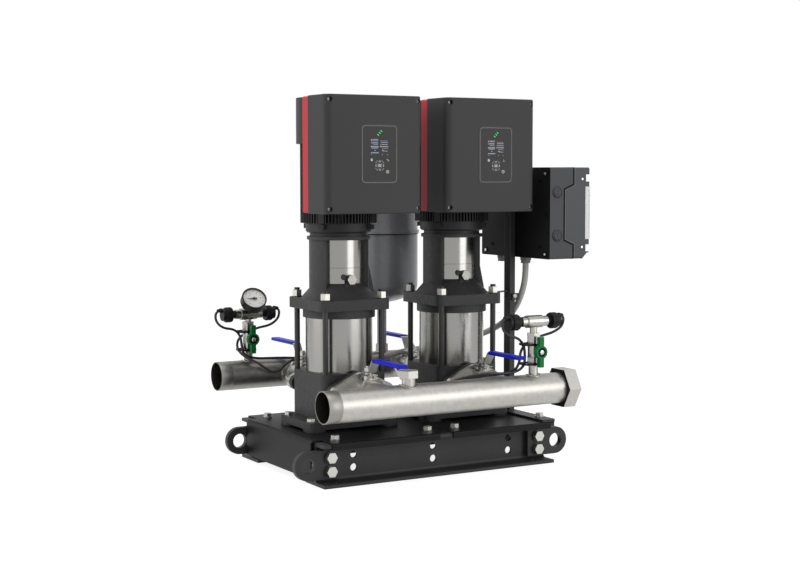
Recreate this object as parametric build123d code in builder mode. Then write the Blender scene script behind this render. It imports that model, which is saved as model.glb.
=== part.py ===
from build123d import *
from math import cos, pi, radians, sin, sqrt, tan
import os

os.makedirs("parts", exist_ok=True)

# Layout: X runs along the manifolds, Y from suction (-) to discharge (+), Z up.
# The origin is the centre of the four floor bolts, at floor level.
pump_spacing = 330.0
port_height = 204.0
manifold_offset = 304.0
running_gap = 0.3
journal_gap = 0.05
hole_gap = 0.25

# H beams of the base
beam_length = 654.0
beam_height = 102.0
beam_flange_width = 100.0
beam_flange = 8.0
beam_web = 6.0
beam_root = 8.0
beam_spread = 370.0
floor_hole = 14.0
floor_hole_spacing = 560.0
floor_hole_inset = 23.0
web_hole = 18.0
web_hole_spacing = 221.5
web_hole_pitch = 32.0
web_hole_shift = -3.5

# Folded trays on the beams
tray_sheet = 4.0
tray_bend = 6.0
tray_seam = 18.0
tray_seam_gap = 1.5
skirt_height = 16.0
skirt_bend = 0.25
left_notch = 20.0
right_skirt_inset = 14.0
left_skirt_stop = 32.0
panel_floor_gap = 15.0
seam_rib = 36.0
seam_rib_gap = 7.0

# Lifting lugs
lug_sheet = 15.0
lug_height = 69.0
lug_eye = 36.0
lug_reach = 26.5
lug_overlap = 59.0
lug_screw_inset = 31.0
lug_screw_pitch = 33.0

# Hexagon fasteners: size, width across flats, head height, washer
lug_screw = 16.0
lug_screw_flats = 24.0
lug_screw_head = 10.0
lug_washer = 30.0
frame_screw = 12.0
frame_screw_flats = 19.0
frame_screw_head = 7.5
frame_washer = 24.0
washer_sheet = 3.0
tray_screw_left_inset = 52.0
tray_screw_right_inset = 13.0
tray_screw_seam_left = 38.0
tray_screw_seam_right = 40.0

# Post of the control box, on a bar across the base
bar_width = 39.0
bar_sheet = 6.0
bar_inset = 16.5
post_width = 18.0
post_depth = 28.0
post_wall = 3.0
post_shift = 7.5
post_y = -43.0
post_top = 735.0
strap_width = 20.0
strap_sheet = 2.0
clip_width = 22.0
clip_height = 18.0
clip_sheet = 5.0
clip_shift = 7.0
clip_drop = 14.0

# Pump casing
foot_length = 250.0
foot_width = 180.0
foot_height = 18.0
foot_pad = 6.0
foot_pad_length = 50.0
foot_pad_width = 56.0
foot_screw_x = 110.0
foot_screw_y = 62.0
casing_half_x = 89.0
casing_half_y = 88.0
casing_corner = 20.0
casing_top = 244.0
casing_rim = 4.0
casing_well = 70.0
well_floor = 18.0
port_bore = 25.0
port_neck = 40.0
flange_face = 110.0
flange_sheet = 14.0
flange_waist = 46.0
flange_ear = 19.0
flange_screw_x = 66.0
flange_joint = 2.0
counter_sheet = 14.0
stay_half = 77.7
stay_rod = 14.0
stay_thread = 12.0
stay_depth = 22.0
stay_nut_flats = 22.0
stay_nut = 17.0
stay_end = 6.0

# Sleeve, chamber stack and impellers
sleeve_radius = 83.5
sleeve_wall = 2.0
sleeve_seat = 3.0
stage_count = 3
chamber_radius = 76.0
chamber_wall = 2.5
chamber_divider = 4.0
chamber_eye = 24.0
impeller_radius = 62.0
impeller_width = 14.0
impeller_hub = 16.0
impeller_plate = 2.0
impeller_vanes = 6

# Pump head with the motor stool
head_bottom = 378.0
collar_height = 21.0
collar_radius = 90.0
head_flange = 26.0
head_half = 97.0
head_corner = 20.0
cone_foot_radius = 95.0
cone_top_radius = 62.0
cone_height = 38.0
column_radius = 74.0
column_inner = 62.0
column_half_angle = 38.0
stool_height = 107.0
ring_radius = 79.0
ring_height = 8.0
ring_bore = 50.0
rib_radius = 97.0
rib_shoulder_rise = 11.0
rib_neck_radius = 82.0
rib_rise = 78.0
rib_slope = 12.0
rib_width = 12.0
seal_radius = 21.0
seal_lift = 20.0
seal_plate_radius = 30.0
seal_plate = 6.0
vent_x = -2.0
vent_rise = 48.0
vent_boss = 12.0
vent_reach = 66.0
vent_block_half = 14.0
vent_block_foot = 80.0
vent_block_top = 35.0
vent_thread = 6.5
vent_thread_depth = 3.5
vent_flats = 22.0
vent_head = 9.0
knob_shift = -17.0
knob_rise = 6.0
knob_radius = 7.0
guard_sheet = 1.5
guard_half_angle = 56.0
guard_seam_rise = 38.0

# Shafts and coupling
shaft_radius = 9.0
shaft_bottom = 168.0
coupling_radius = 25.0
coupling_lift = 19.0
coupling_height = 60.0
coupling_slit = 0.5
coupling_screw = 6.4
coupling_screw_x = 17.0
coupling_screw_inset = 15.0

# Motor and fan cowl
spigot_radius = 72.0
spigot_height = 9.0
drum_radius = 82.0
drum_chamfer = 4.0
drum_height = 33.0
drum_lug_reach = 95.0
drum_lug_lift = 18.0
drum_lug_height = 12.0
drum_lug_width = 14.0
drum_lug_angle = 35.0
motor_core = 80.0
fin_radius = 95.0
fin_width = 2.6
fin_count = 72
fin_boss_width = 17.0
fin_length = 194.0
cowl_radius = 104.5
cowl_sheet = 3.0
cowl_ledge = 4.0
cowl_mouth = 57.0
cowl_height = 112.0
grille_bars = 5
grille_slot = 9.0
grille_slot_length = 90.0
grille_pitch = 18.0
rotor_radius = 44.0
rotor_lift = 29.0
rotor_headroom = 35.0
fan_radius = 53.0
fan_hub = 16.0
fan_lift = 25.0
fan_height = 36.0
fan_blades = 6
fan_blade = 3.0

# Drive on the flat of the motor
drive_back = 63.5
drive_half = 131.0
drive_lift = 26.0
drive_joint = 94.0
drive_front = 190.0
drive_wall = 4.0
drive_fillet = 18.0
drive_crown = 3.0
shell_corner = 5.0
cover_chamfer = 2.0
cover_screw_bore = 11.0
cover_screw_inset = 12.0
cover_screw_depth = 10.0
panel_x = 8.0
panel_lift = 2.0
panel_width = 94.0
panel_height = 138.0
panel_corner = 6.0
panel_sheet = 1.6

# Ball valves, check valves and levers between flanges and manifolds
suction_stem = 152.0
discharge_stem = 205.0
valve_half = 26.0
valve_flats = 70.0
valve_hexagon = 11.0
valve_barrel = 36.0
valve_ball = 30.0
valve_ball_bore = 22.0
valve_neck = 13.0
valve_neck_height = 43.0
stop_width = 26.0
stop_length = 47.0
stop_sheet = 3.0
stem_radius = 7.0
stem_shoulder = 10.0
stem_shoulder_height = 4.0
stem_nut_flats = 19.0
stem_nut = 9.0
stem_end = 4.0
lever_sheet = 3.0
lever_width = 22.0
lever_heel = 12.0
lever_foot = 18.0
lever_rise_end = 37.0
lever_rise = 30.0
lever_bend = 4.0
lever_end = 158.0
grip_start = 40.0
grip_end = 167.0
grip_width = 25.0
grip_height = 9.0
grip_corner = 4.0
check_barrel = 35.0
check_chamber = 29.0
poppet_radius = 27.0
poppet_sheet = 4.0

# Manifolds
pipe_radius = 38.05
pipe_wall = 2.6
pipe_left = -367.0
pipe_right = 300.0
pipe_end_band = 34.0
pipe_end_step = 0.4
branch_radius = 30.0
sensor_stub = 11.5
sensor_stub_rise = 59.0
rear_sensor_x = -276.0
front_sensor_x = 212.0
plug_x = -142.0
plug_stub = 16.0
plug_stub_rise = 54.0
plug_flats = 44.0
plug_head = 17.0
tank_x = 128.0
tank_stub = 17.0
tank_stub_rise = 58.0
stub_wall = 4.0
cap_flats = 92.0
cap_start = 286.0
cap_end = 323.0
cap_chamfer = 3.0

# Sensor sets: small ball valve, union with tee, two sensors each
sensor_hexagon = 29.0
sensor_hexagon_height = 24.0
sensor_barrel = 14.0
sensor_valve_height = 73.0
sensor_ball = 9.5
sensor_bore = 6.0
sensor_neck = 8.0
handle_reach = 24.0
handle_depth = 13.0
handle_hub = 16.0
handle_recess = 11.0
handle_recess_depth = 8.0
handle_nut = 5.5
handle_wing = 12.0
handle_half = 37.0
spindle_radius = 4.0
union_flats = 30.0
union_height = 8.0
union_pipe = 9.0
tee_radius = 15.5
tee_half = 22.0
tee_collar = 12.5
tee_end = 37.0
rear_tee_rise = 160.0
front_tee_rise = 168.0
sensor_neck_end = 48.0
sensor_neck_radius = 10.0
sensor_ring_end = 66.0
sensor_ring = 19.0
sensor_cap_end = 74.0
sensor_cap = 15.5

# Pressure gauge on the rear tee
gauge_forward = 42.0
gauge_rise = 205.0
gauge_turn = 8.0
gauge_tilt = 40.0
gauge_radius = 33.0
gauge_depth = 22.0
gauge_bezel = 3.5
gauge_recess = 5.0
gauge_stem = 7.0
gauge_stem_length = 16.0
gauge_boss = 10.0
gauge_boss_length = 20.0
pointer_length = 22.0
pointer_tail = 8.0
pointer_width = 2.0
pointer_hub = 4.0
pointer_sheet = 1.0
pointer_pin = 1.5

# Diaphragm tank
tank_radius = 99.0
tank_wall = 2.0
tank_lift = 116.0
tank_crown = 34.0
tank_knuckle = 30.0
tank_ridge_lift = 192.0
tank_ridge_height = 8.0
tank_ridge = 103.0
tank_height = 340.0
tank_nipple = 13.0

# Control box
box_depth = 76.0
box_left = -209.0
box_right = 104.0
box_bottom = 515.0
box_top = 748.0
box_wall = 3.0
box_corner = 6.0
lid_depth = 47.0
lid_bevel = 21.0
lid_pocket_height = 18.0
lid_pocket_depth = 12.0
lid_pocket_width = 14.0
lid_pocket_inset = 27.0
seam_groove = 1.2
tongue_sheet = 2.0
tongue_reach = 29.0
tongue_slant = 12.0
tongue_bottom = 553.0
tongue_top = 703.0
window_bottom = 555.0
window_top = 700.0
window_margin = 22.0
window_sheet = 5.0
hinge_radius = 4.0
hinge_pin = 1.5
hinge_pin_length = 4.0
hinge_ear = 4.0
breaker_margin = 24.0
breaker_bottom = 590.0
breaker_height = 82.0
breaker_inset = 10.0
breaker_foot = 60.0
gland_inset = 21.0
gland_ys = (-73.0, 35.0)
gland_flats = 27.0
gland_hexagon = 8.0
gland_nut = 12.5
gland_nut_height = 8.0
blank_inset = 22.0
blank_zs = (685.0, 575.0)
blank_radius = 11.0
blank_height = 4.0

# Cords: diameters, and routes chosen by hand from the way the leads hang
lead_diameter = 6.6
harness_diameter = 16.0
rear_left_route = [
    (-350.0, 304.0, 376.0),
    (-367.0, 304.0, 376.0),
    (-370.0, 302.0, 350.0),
    (-350.0, 300.0, 330.0),
    (-317.0, 300.0, 326.0),
    (-300.0, 300.0, 308.0),
    (-297.0, 299.0, 282.0),
    (-296.0, 290.0, 257.0),
    (-264.0, 284.0, 247.0),
    (-216.0, 282.0, 246.0),
    (-168.0, 278.0, 244.0),
    (-120.0, 270.0, 240.0),
    (-74.0, 259.0, 235.5),
    (-28.0, 255.3, 233.3),
    (18.0, 255.3, 233.3),
]
rear_right_route = [
    (-202.0, 304.0, 376.0),
    (-185.0, 304.0, 376.0),
    (-184.0, 309.0, 349.0),
    (-205.0, 316.0, 330.0),
    (-238.0, 324.0, 324.0),
    (-268.0, 329.0, 314.0),
    (-298.0, 322.0, 297.0),
    (-308.0, 306.0, 274.0),
    (-300.0, 280.0, 255.0),
    (-266.0, 263.0, 238.0),
    (-236.0, 256.0, 213.0),
    (-211.0, 255.0, 211.0),
    (-194.0, 255.0, 229.0),
    (-166.0, 256.0, 243.0),
    (-122.0, 254.0, 237.0),
    (-75.0, 251.0, 229.0),
    (-28.0, 255.3, 226.7),
    (18.0, 255.3, 226.7),
]
front_right_route = [
    (286.0, -304.0, 384.0),
    (303.0, -304.0, 384.0),
    (303.0, -300.0, 357.0),
    (280.0, -294.0, 341.0),
    (248.0, -286.0, 333.0),
    (216.0, -281.0, 323.0),
    (188.0, -283.0, 301.0),
    (183.0, -288.0, 272.0),
    (171.0, -284.0, 249.5),
    (128.0, -281.0, 244.5),
    (80.0, -278.0, 244.0),
    (37.0, -256.0, 232.0),
    (6.0, -214.0, 210.0),
    (-10.0, -156.0, 194.0),
    (-18.0, -92.0, 187.0),
    (-25.0, -22.0, 185.0),
    (-34.0, 50.0, 189.0),
    (-44.0, 118.0, 199.0),
    (-51.0, 182.0, 214.0),
    (-46.0, 228.0, 225.0),
    (-16.0, 248.7, 226.7),
    (18.0, 248.7, 226.7),
]
front_left_route = [
    (138.0, -304.0, 384.0),
    (121.0, -304.0, 384.0),
    (121.0, -303.0, 357.0),
    (140.0, -301.0, 340.0),
    (170.0, -301.0, 333.0),
    (187.0, -300.0, 314.0),
    (191.0, -299.0, 288.0),
    (189.0, -298.0, 262.0),
    (166.0, -295.0, 248.5),
    (124.0, -290.0, 247.5),
    (82.0, -287.0, 251.0),
    (33.0, -263.0, 240.0),
    (-2.0, -216.0, 218.0),
    (-18.0, -156.0, 202.0),
    (-26.0, -90.0, 195.0),
    (-33.0, -20.0, 193.0),
    (-42.0, 52.0, 197.0),
    (-52.0, 118.0, 207.0),
    (-59.0, 186.0, 222.0),
    (-50.0, 232.0, 231.5),
    (-16.0, 248.7, 233.3),
    (18.0, 248.7, 233.3),
]
harness_route = [
    (18.0, 252.0, 230.0),
    (90.0, 252.0, 230.0),
    (162.0, 247.0, 245.0),
    (230.0, 234.0, 252.0),
    (284.0, 184.0, 266.0),
    (317.0, 122.0, 289.0),
    (337.0, 60.0, 314.0),
    (344.0, 2.0, 346.0),
]
# the run up to the gland, with X counted from the gland's axis
harness_rise = [
    (-2.0, -40.0, 388.0),
    (-1.0, -64.0, 430.0),
    (0.0, -73.0, 468.0),
    (0.0, -73.0, 499.0),
]
cord_bend_share = 0.45


# Heights and places that follow from the sizes above
pump_xs = (-pump_spacing / 2, pump_spacing / 2)
web_face = beam_spread / 2 + beam_web / 2
beam_tip = beam_spread / 2 + beam_flange_width / 2
beam_end = beam_length / 2
panel_half_width = beam_spread / 2 - beam_web / 2
seam_rib_half = beam_spread / 2 - beam_flange_width / 2 - seam_rib_gap
tray_screw_y = web_face
tray_screw_xs = (
    tray_screw_left_inset - beam_end,
    tray_seam - tray_screw_seam_left,
    tray_seam + tray_screw_seam_right,
    beam_end - tray_screw_right_inset,
)
lug_eye_x = beam_end + lug_reach
lug_inner_x = beam_end - lug_overlap
lug_screw_x = beam_end - lug_screw_inset
bar_x = beam_end - bar_inset
post_x = bar_x + post_shift
tray_top = beam_height + tray_sheet
bar_top = tray_top + bar_sheet
foot_bottom = tray_top + foot_pad
foot_top = foot_bottom + foot_height
stack_bottom = casing_top + casing_rim
sensor_stub_top = port_height + sensor_stub_rise
plug_stub_top = port_height + plug_stub_rise
tank_stub_top = port_height + tank_stub_rise
rear_tee_z = port_height + rear_tee_rise
front_tee_z = port_height + front_tee_rise
tank_bottom = tank_stub_top + tank_lift
tank_ridge_bottom = tank_bottom + tank_ridge_lift
tank_ridge_top = tank_ridge_bottom + tank_ridge_height
tank_top = tank_bottom + tank_height
gauge_centre = (rear_sensor_x, manifold_offset - gauge_forward, port_height + gauge_rise)
head_top = head_bottom + collar_height + head_flange
cone_top = head_top + cone_height
stool_top = cone_top + stool_height
rib_shoulder = head_top + rib_shoulder_rise
rib_top = head_top + rib_rise
vent_z = head_top + vent_rise
seal_bottom = head_bottom + seal_lift
guard_seam = cone_top + guard_seam_rise
coupling_bottom = cone_top + coupling_lift
shaft_joint = coupling_bottom + coupling_height / 2
stage_pitch = (head_bottom - stack_bottom - chamber_divider) / stage_count
motor_bottom = stool_top + ring_height
drum_top = motor_bottom + drum_height
motor_top = drum_top + fin_length
cowl_top = motor_top + cowl_height
rotor_bottom = drum_top + rotor_lift
rotor_top = motor_top - rotor_headroom
fan_bottom = motor_top + fan_lift
drive_bottom = drum_top + drive_lift
drive_z = (drive_bottom + cowl_top) / 2
drive_height = cowl_top - drive_bottom
panel_z = drive_z + panel_lift
flange_back = flange_face - flange_sheet
counter_back = flange_face + flange_joint
counter_face = counter_back + counter_sheet
lever_seat = valve_neck_height + stop_sheet + running_gap + stem_shoulder_height
box_back = post_x + post_width / 2
box_front = box_back + box_depth
lid_front = box_front + lid_depth
tongue_start = box_front - tongue_reach
breaker_face = lid_front - breaker_inset
gland_x = box_back + gland_inset
blank_x = box_back + blank_inset
harness_path = harness_route + [(gland_x + shift, y, z) for shift, y, z in harness_rise]
hinge_x = lid_front + hinge_radius
window_left = box_left + window_margin
window_right = box_right - window_margin


def facing(x, y, z, side):
    """Plane that looks along -Y (side -1) or +Y (side 1), with its own y upwards."""
    return Plane(origin=(x, y, z), x_dir=(-side, 0, 0), z_dir=(0, side, 0))


def endwise(x, y, z, side):
    """Plane that looks along -X or +X, with its own y upwards."""
    return Plane(origin=(x, y, z), x_dir=(0, side, 0), z_dir=(side, 0, 0))


def radial(angle):
    """Upright plane through the Z axis whose own x points outwards at the angle."""
    turn = radians(angle)
    return Plane(origin=(0, 0, 0), x_dir=(cos(turn), sin(turn), 0), z_dir=(sin(turn), -cos(turn), 0))


def hexagon_bolt(size, flats, head, grip, washer=0.0, nut=0.0):
    """Bolt along -Z with its bearing face at z = 0, and the nut below its grip."""
    lift = washer_sheet if washer else 0.0
    with BuildPart() as bolt:
        if washer:
            with BuildSketch(Plane.XY):
                Circle(washer / 2)
            extrude(amount=lift)
        with BuildSketch(Plane.XY.offset(lift)):
            RegularPolygon(flats / 2, 6, major_radius=False)
        extrude(amount=head)
        with BuildSketch(Plane.XY):
            Circle(size / 2)
        extrude(amount=-grip - nut)
        if nut:
            with BuildSketch(Plane.XY.offset(-grip)):
                RegularPolygon(flats / 2, 6, major_radius=False)
            extrude(amount=-nut)
    return bolt.part


# Front and rear H beams with root radii, web holes and floor bolt holes
with BuildSketch() as beam_section:
    with Locations((0, beam_flange / 2), (0, beam_height - beam_flange / 2)):
        Rectangle(beam_flange_width, beam_flange)
    with Locations((0, beam_height / 2)):
        Rectangle(beam_web, beam_height)
    roots = beam_section.vertices().filter_by(
        lambda corner: abs(corner.X) < beam_web and beam_flange / 2 < corner.Y < beam_height - beam_flange / 2
    )
    fillet(roots, beam_root)

with BuildPart() as base_beams:
    with BuildSketch(Plane.YZ.offset(-beam_end)):
        with GridLocations(beam_spread, 1, 2, 1):
            add(beam_section.sketch)
    extrude(amount=beam_length)
    with BuildSketch(Plane.XZ):
        with Locations((web_hole_shift, beam_height / 2)):
            with GridLocations(web_hole_spacing, web_hole_pitch, 3, 2):
                Circle(web_hole / 2)
        with Locations((0, beam_height / 2)):
            with GridLocations(2 * lug_screw_x, lug_screw_pitch, 2, 2):
                Circle(lug_screw / 2 + hole_gap)
    extrude(amount=beam_spread, both=True, mode=Mode.SUBTRACT)
    with BuildSketch(Plane.XY):
        with GridLocations(floor_hole_spacing, 2 * (beam_tip - floor_hole_inset), 2, 2):
            Circle(floor_hole / 2)
    extrude(amount=beam_flange, mode=Mode.SUBTRACT)
    with BuildSketch(Plane.XY.offset(beam_height)):
        with Locations(*[(x, y * tray_screw_y) for x in tray_screw_xs for y in (-1, 1)]):
            Circle(frame_screw / 2 + hole_gap)
    extrude(amount=-beam_flange, mode=Mode.SUBTRACT)
base_beams.part.label = "base_beams"
export_step(base_beams.part, "parts/base_beams.step")


def folded_tray(side, skirt_from, skirt_to, shelf_end):
    """One half of the tray: top sheet with a rolled end, a skirt on each beam, a rib at the seam."""
    seam = tray_seam + side * tray_seam_gap / 2
    fold = side * (beam_end + tray_bend + tray_sheet)
    reach = beam_tip + running_gap + tray_sheet
    inward = Side.RIGHT if side > 0 else Side.LEFT
    with BuildPart() as tray:
        with BuildSketch(Plane.XZ):
            with BuildLine():
                FilletPolyline(
                    (seam, tray_top), (fold, tray_top), (fold, panel_floor_gap), radius=tray_bend + tray_sheet
                )
                offset(amount=tray_sheet, side=inward)
            make_face()
        extrude(amount=panel_half_width, both=True)
        with BuildSketch(Plane.XY.offset(beam_height)):
            with Locations(((seam + shelf_end) / 2, 0)):
                Rectangle(abs(shelf_end - seam), 2 * beam_tip)
        extrude(amount=tray_sheet)
        with BuildSketch(Plane.YZ.offset(min(skirt_from, skirt_to))):
            with BuildLine():
                FilletPolyline(
                    (panel_half_width, tray_top),
                    (reach, tray_top),
                    (reach, tray_top - skirt_height),
                    radius=skirt_bend + tray_sheet,
                )
                offset(amount=tray_sheet, side=Side.RIGHT)
            make_face()
            mirror(about=Plane.YZ)
        extrude(amount=abs(skirt_to - skirt_from))
        with BuildSketch(Plane.XY.offset(beam_height)):
            with Locations((seam + side * tray_sheet / 2, 0)):
                Rectangle(tray_sheet, 2 * seam_rib_half)
        extrude(amount=-seam_rib)
        with BuildSketch(Plane.XY.offset(tray_top)):
            with Locations(*[(x, y * tray_screw_y) for x in tray_screw_xs for y in (-1, 1)]):
                Circle(frame_screw / 2 + hole_gap)
            with Locations(*[(x, 0) for x in pump_xs]):
                with GridLocations(2 * foot_screw_x, 2 * foot_screw_y, 2, 2):
                    Circle(frame_screw / 2 + hole_gap)
        extrude(amount=-tray_sheet, mode=Mode.SUBTRACT)
    return tray.part


left_half = folded_tray(-1, left_notch - beam_end, tray_seam - left_skirt_stop, left_notch - beam_end)
right_half = folded_tray(1, tray_seam + tray_bend, beam_end - right_skirt_inset, beam_end)
with BuildPart() as base_trays:
    add(left_half)
    add(right_half)
base_trays.part.label = "base_trays"
export_step(base_trays.part, "parts/base_trays.step")


# Four lifting lugs, flat on the outer faces of the beam webs
with BuildSketch() as lug_outline:
    with Locations(((lug_inner_x + lug_eye_x) / 2, beam_height / 2)):
        Rectangle(lug_eye_x - lug_inner_x, lug_height)
    with Locations((lug_eye_x, beam_height / 2)):
        Circle(lug_height / 2)
        Circle(lug_eye / 2, mode=Mode.SUBTRACT)
    with Locations((lug_screw_x, beam_height / 2)):
        with GridLocations(1, lug_screw_pitch, 1, 2):
            Circle(lug_screw / 2 + hole_gap, mode=Mode.SUBTRACT)
    mirror(about=Plane.YZ)

with BuildPart() as lifting_lugs:
    for side in (-1, 1):
        with BuildSketch(Plane.XZ.offset(-side * web_face)):
            add(lug_outline.sketch)
        extrude(amount=-side * lug_sheet)
lifting_lugs.part.label = "lifting_lugs"
export_step(lifting_lugs.part, "parts/lifting_lugs.step")

lug_fastener = hexagon_bolt(
    lug_screw, lug_screw_flats, lug_screw_head, lug_sheet + beam_web, lug_washer, lug_screw_head
)
with BuildPart() as lug_bolts:
    for side in (-1, 1):
        with Locations(facing(0, side * (web_face + lug_sheet), beam_height / 2, side)):
            with GridLocations(2 * lug_screw_x, lug_screw_pitch, 2, 2):
                add(lug_fastener)
lug_bolts.part.label = "lug_bolts"
export_step(lug_bolts.part, "parts/lug_bolts.step")


# Screws of trays and bar, bolts of the pump feet, screws of the port flanges
tray_grip = tray_sheet + beam_flange
tray_fastener = hexagon_bolt(frame_screw, frame_screw_flats, frame_screw_head, tray_grip, frame_washer)
bar_fastener = hexagon_bolt(frame_screw, frame_screw_flats, frame_screw_head, tray_grip + bar_sheet, frame_washer)
foot_fastener = hexagon_bolt(
    frame_screw, frame_screw_flats, frame_screw_head, foot_top - beam_height, nut=frame_screw_head
)
flange_fastener = hexagon_bolt(frame_screw, frame_screw_flats, frame_screw_head, counter_face - flange_back)
with BuildPart() as hex_bolts:
    for x in tray_screw_xs:
        on_bar = abs(x - bar_x) < bar_width / 2
        with Locations(*[(x, y * tray_screw_y, bar_top if on_bar else tray_top) for y in (-1, 1)]):
            add(bar_fastener if on_bar else tray_fastener)
    for x in pump_xs:
        with Locations((x, 0, foot_top)):
            with GridLocations(2 * foot_screw_x, 2 * foot_screw_y, 2, 2):
                add(foot_fastener)
        for side in (-1, 1):
            with Locations(facing(x, side * counter_face, port_height, side)):
                with GridLocations(2 * flange_screw_x, 1, 2, 1):
                    add(flange_fastener)
hex_bolts.part.label = "hex_bolts"
export_step(hex_bolts.part, "parts/hex_bolts.step")


# Post of the control box on its bar, with the strap to the front right stay bolt of pump 2
stay_x = pump_spacing / 2 + stay_half
with BuildPart() as control_post:
    with BuildSketch(Plane.XY.offset(tray_top)):
        with Locations((bar_x, 0)):
            RectangleRounded(bar_width, 2 * beam_tip, bar_sheet / 2)
        with Locations(*[(x, y * tray_screw_y) for x in tray_screw_xs for y in (-1, 1)]):
            Circle(frame_screw / 2 + hole_gap, mode=Mode.SUBTRACT)
    extrude(amount=bar_sheet)
    with BuildSketch(Plane.XY.offset(bar_top)):
        with Locations((post_x, post_y)):
            RectangleRounded(post_width, post_depth, post_wall - hole_gap)
            Rectangle(post_width - 2 * post_wall, post_depth - 2 * post_wall, mode=Mode.SUBTRACT)
    extrude(amount=post_top - bar_top)
    with BuildSketch(Plane.XY.offset(head_top)):
        with Locations((stay_x, -stay_half)):
            Circle(strap_width / 2)
        with Locations((post_x - post_width / 2 + strap_width / 4, post_y)):
            Circle(strap_width / 3)
        make_hull()
        with Locations((stay_x, -stay_half)):
            Circle(stay_rod / 2 + hole_gap, mode=Mode.SUBTRACT)
        with Locations((post_x, post_y)):
            Rectangle(post_width - post_wall, post_depth - post_wall, mode=Mode.SUBTRACT)
    extrude(amount=strap_sheet)
    with BuildSketch(facing(post_x + clip_shift, post_y - post_depth / 2, head_top - clip_drop, -1)):
        RectangleRounded(clip_width, clip_height, post_wall)
    extrude(amount=clip_sheet)
control_post.part.label = "control_post"
export_step(control_post.part, "parts/control_post.step")


# Oval port flange, its ears joined to the round waist by tangents
with BuildSketch() as oval_flange:
    Circle(flange_waist)
    with GridLocations(2 * flange_screw_x, 1, 2, 1):
        Circle(flange_ear)
    make_hull()
    with GridLocations(2 * flange_screw_x, 1, 2, 1):
        Circle(frame_screw / 2 + hole_gap, mode=Mode.SUBTRACT)
    Circle(port_bore, mode=Mode.SUBTRACT)


# Pump casing: foot on four pads, block with rim and well, neck and flange on both sides
with BuildPart() as casing:
    with BuildSketch(Plane.XY.offset(foot_bottom)):
        RectangleRounded(foot_length, foot_width, casing_corner)
    extrude(amount=foot_height)
    with BuildSketch(Plane.XY.offset(tray_top)):
        with GridLocations(foot_length - foot_pad_length, foot_width - foot_pad_width, 2, 2):
            RectangleRounded(foot_pad_length, foot_pad_width, casing_corner)
    extrude(amount=foot_pad)
    with BuildSketch(Plane.XY.offset(foot_top)):
        RectangleRounded(2 * casing_half_x, 2 * casing_half_y, casing_corner)
    extrude(amount=casing_top - foot_top)
    with BuildSketch(Plane.XY.offset(casing_top)):
        Circle(sleeve_radius - sleeve_wall - running_gap)
    extrude(amount=casing_rim)
    for side in (-1, 1):
        with BuildSketch(facing(0, side * casing_half_y, port_height, side)):
            Circle(port_neck)
        extrude(amount=flange_back - casing_half_y)
        with BuildSketch(facing(0, side * flange_back, port_height, side)):
            add(oval_flange.sketch)
        extrude(amount=flange_sheet)
    with BuildSketch(Plane.XY.offset(stack_bottom)):
        Circle(casing_well)
    extrude(amount=foot_top + well_floor - stack_bottom, mode=Mode.SUBTRACT)
    with BuildSketch(Plane.XZ):
        with Locations((0, port_height)):
            Circle(port_bore)
    extrude(amount=flange_face, mode=Mode.SUBTRACT, both=True)
    with BuildSketch(Plane.XY.offset(casing_top)):
        with GridLocations(2 * stay_half, 2 * stay_half, 2, 2):
            Circle(stay_thread / 2 + journal_gap)
    extrude(amount=-stay_depth - stay_end, mode=Mode.SUBTRACT)
    with BuildSketch(Plane.XY.offset(foot_top)):
        with GridLocations(2 * foot_screw_x, 2 * foot_screw_y, 2, 2):
            Circle(frame_screw / 2 + hole_gap)
    extrude(amount=tray_top - foot_top, mode=Mode.SUBTRACT)


# Outer sleeve, between casing and head
with BuildPart() as sleeve:
    with BuildSketch(Plane.XY.offset(casing_top)):
        Circle(sleeve_radius)
        Circle(sleeve_radius - sleeve_wall, mode=Mode.SUBTRACT)
    extrude(amount=head_bottom + sleeve_seat - casing_top)


# Chamber stack: one chamber above the other, open at the eye
with BuildPart() as stack:
    with BuildSketch(Plane.XY.offset(stack_bottom)):
        Circle(chamber_radius)
        Circle(chamber_eye, mode=Mode.SUBTRACT)
    extrude(amount=head_bottom - stack_bottom)
    for stage in range(stage_count):
        with BuildSketch(Plane.XY.offset(stack_bottom + chamber_divider + stage * stage_pitch)):
            Circle(chamber_radius - chamber_wall)
        extrude(amount=stage_pitch - chamber_divider, mode=Mode.SUBTRACT)


# Stay bolts from the casing through the head, the one under the strap raised by its sheet
with BuildPart() as stay:
    with BuildSketch(Plane.XY.offset(casing_top)):
        Circle(stay_thread / 2)
    extrude(amount=-stay_depth)
    with BuildSketch(Plane.XY.offset(casing_top)):
        Circle(stay_rod / 2)
    extrude(amount=head_top + stay_nut + stay_end - casing_top)
    with BuildSketch(Plane.XY.offset(head_top + strap_sheet)):
        RegularPolygon(stay_nut_flats / 2, 6, major_radius=False)
    extrude(amount=stay_nut - strap_sheet)
with BuildPart() as stay_washer:
    with BuildSketch(Plane.XY.offset(head_top)):
        Circle(frame_washer / 2)
        Circle(stay_rod / 2 + hole_gap, mode=Mode.SUBTRACT)
    extrude(amount=strap_sheet)
with BuildPart() as stay_bolts:
    for x in pump_xs:
        for x_side in (-1, 1):
            for y_side in (-1, 1):
                with Locations((x + x_side * stay_half, y_side * stay_half, 0)):
                    add(stay.part)
                    if not (x > 0 and x_side > 0 and y_side < 0):
                        add(stay_washer.part)
stay_bolts.part.label = "stay_bolts"
export_step(stay_bolts.part, "parts/stay_bolts.step")


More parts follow.
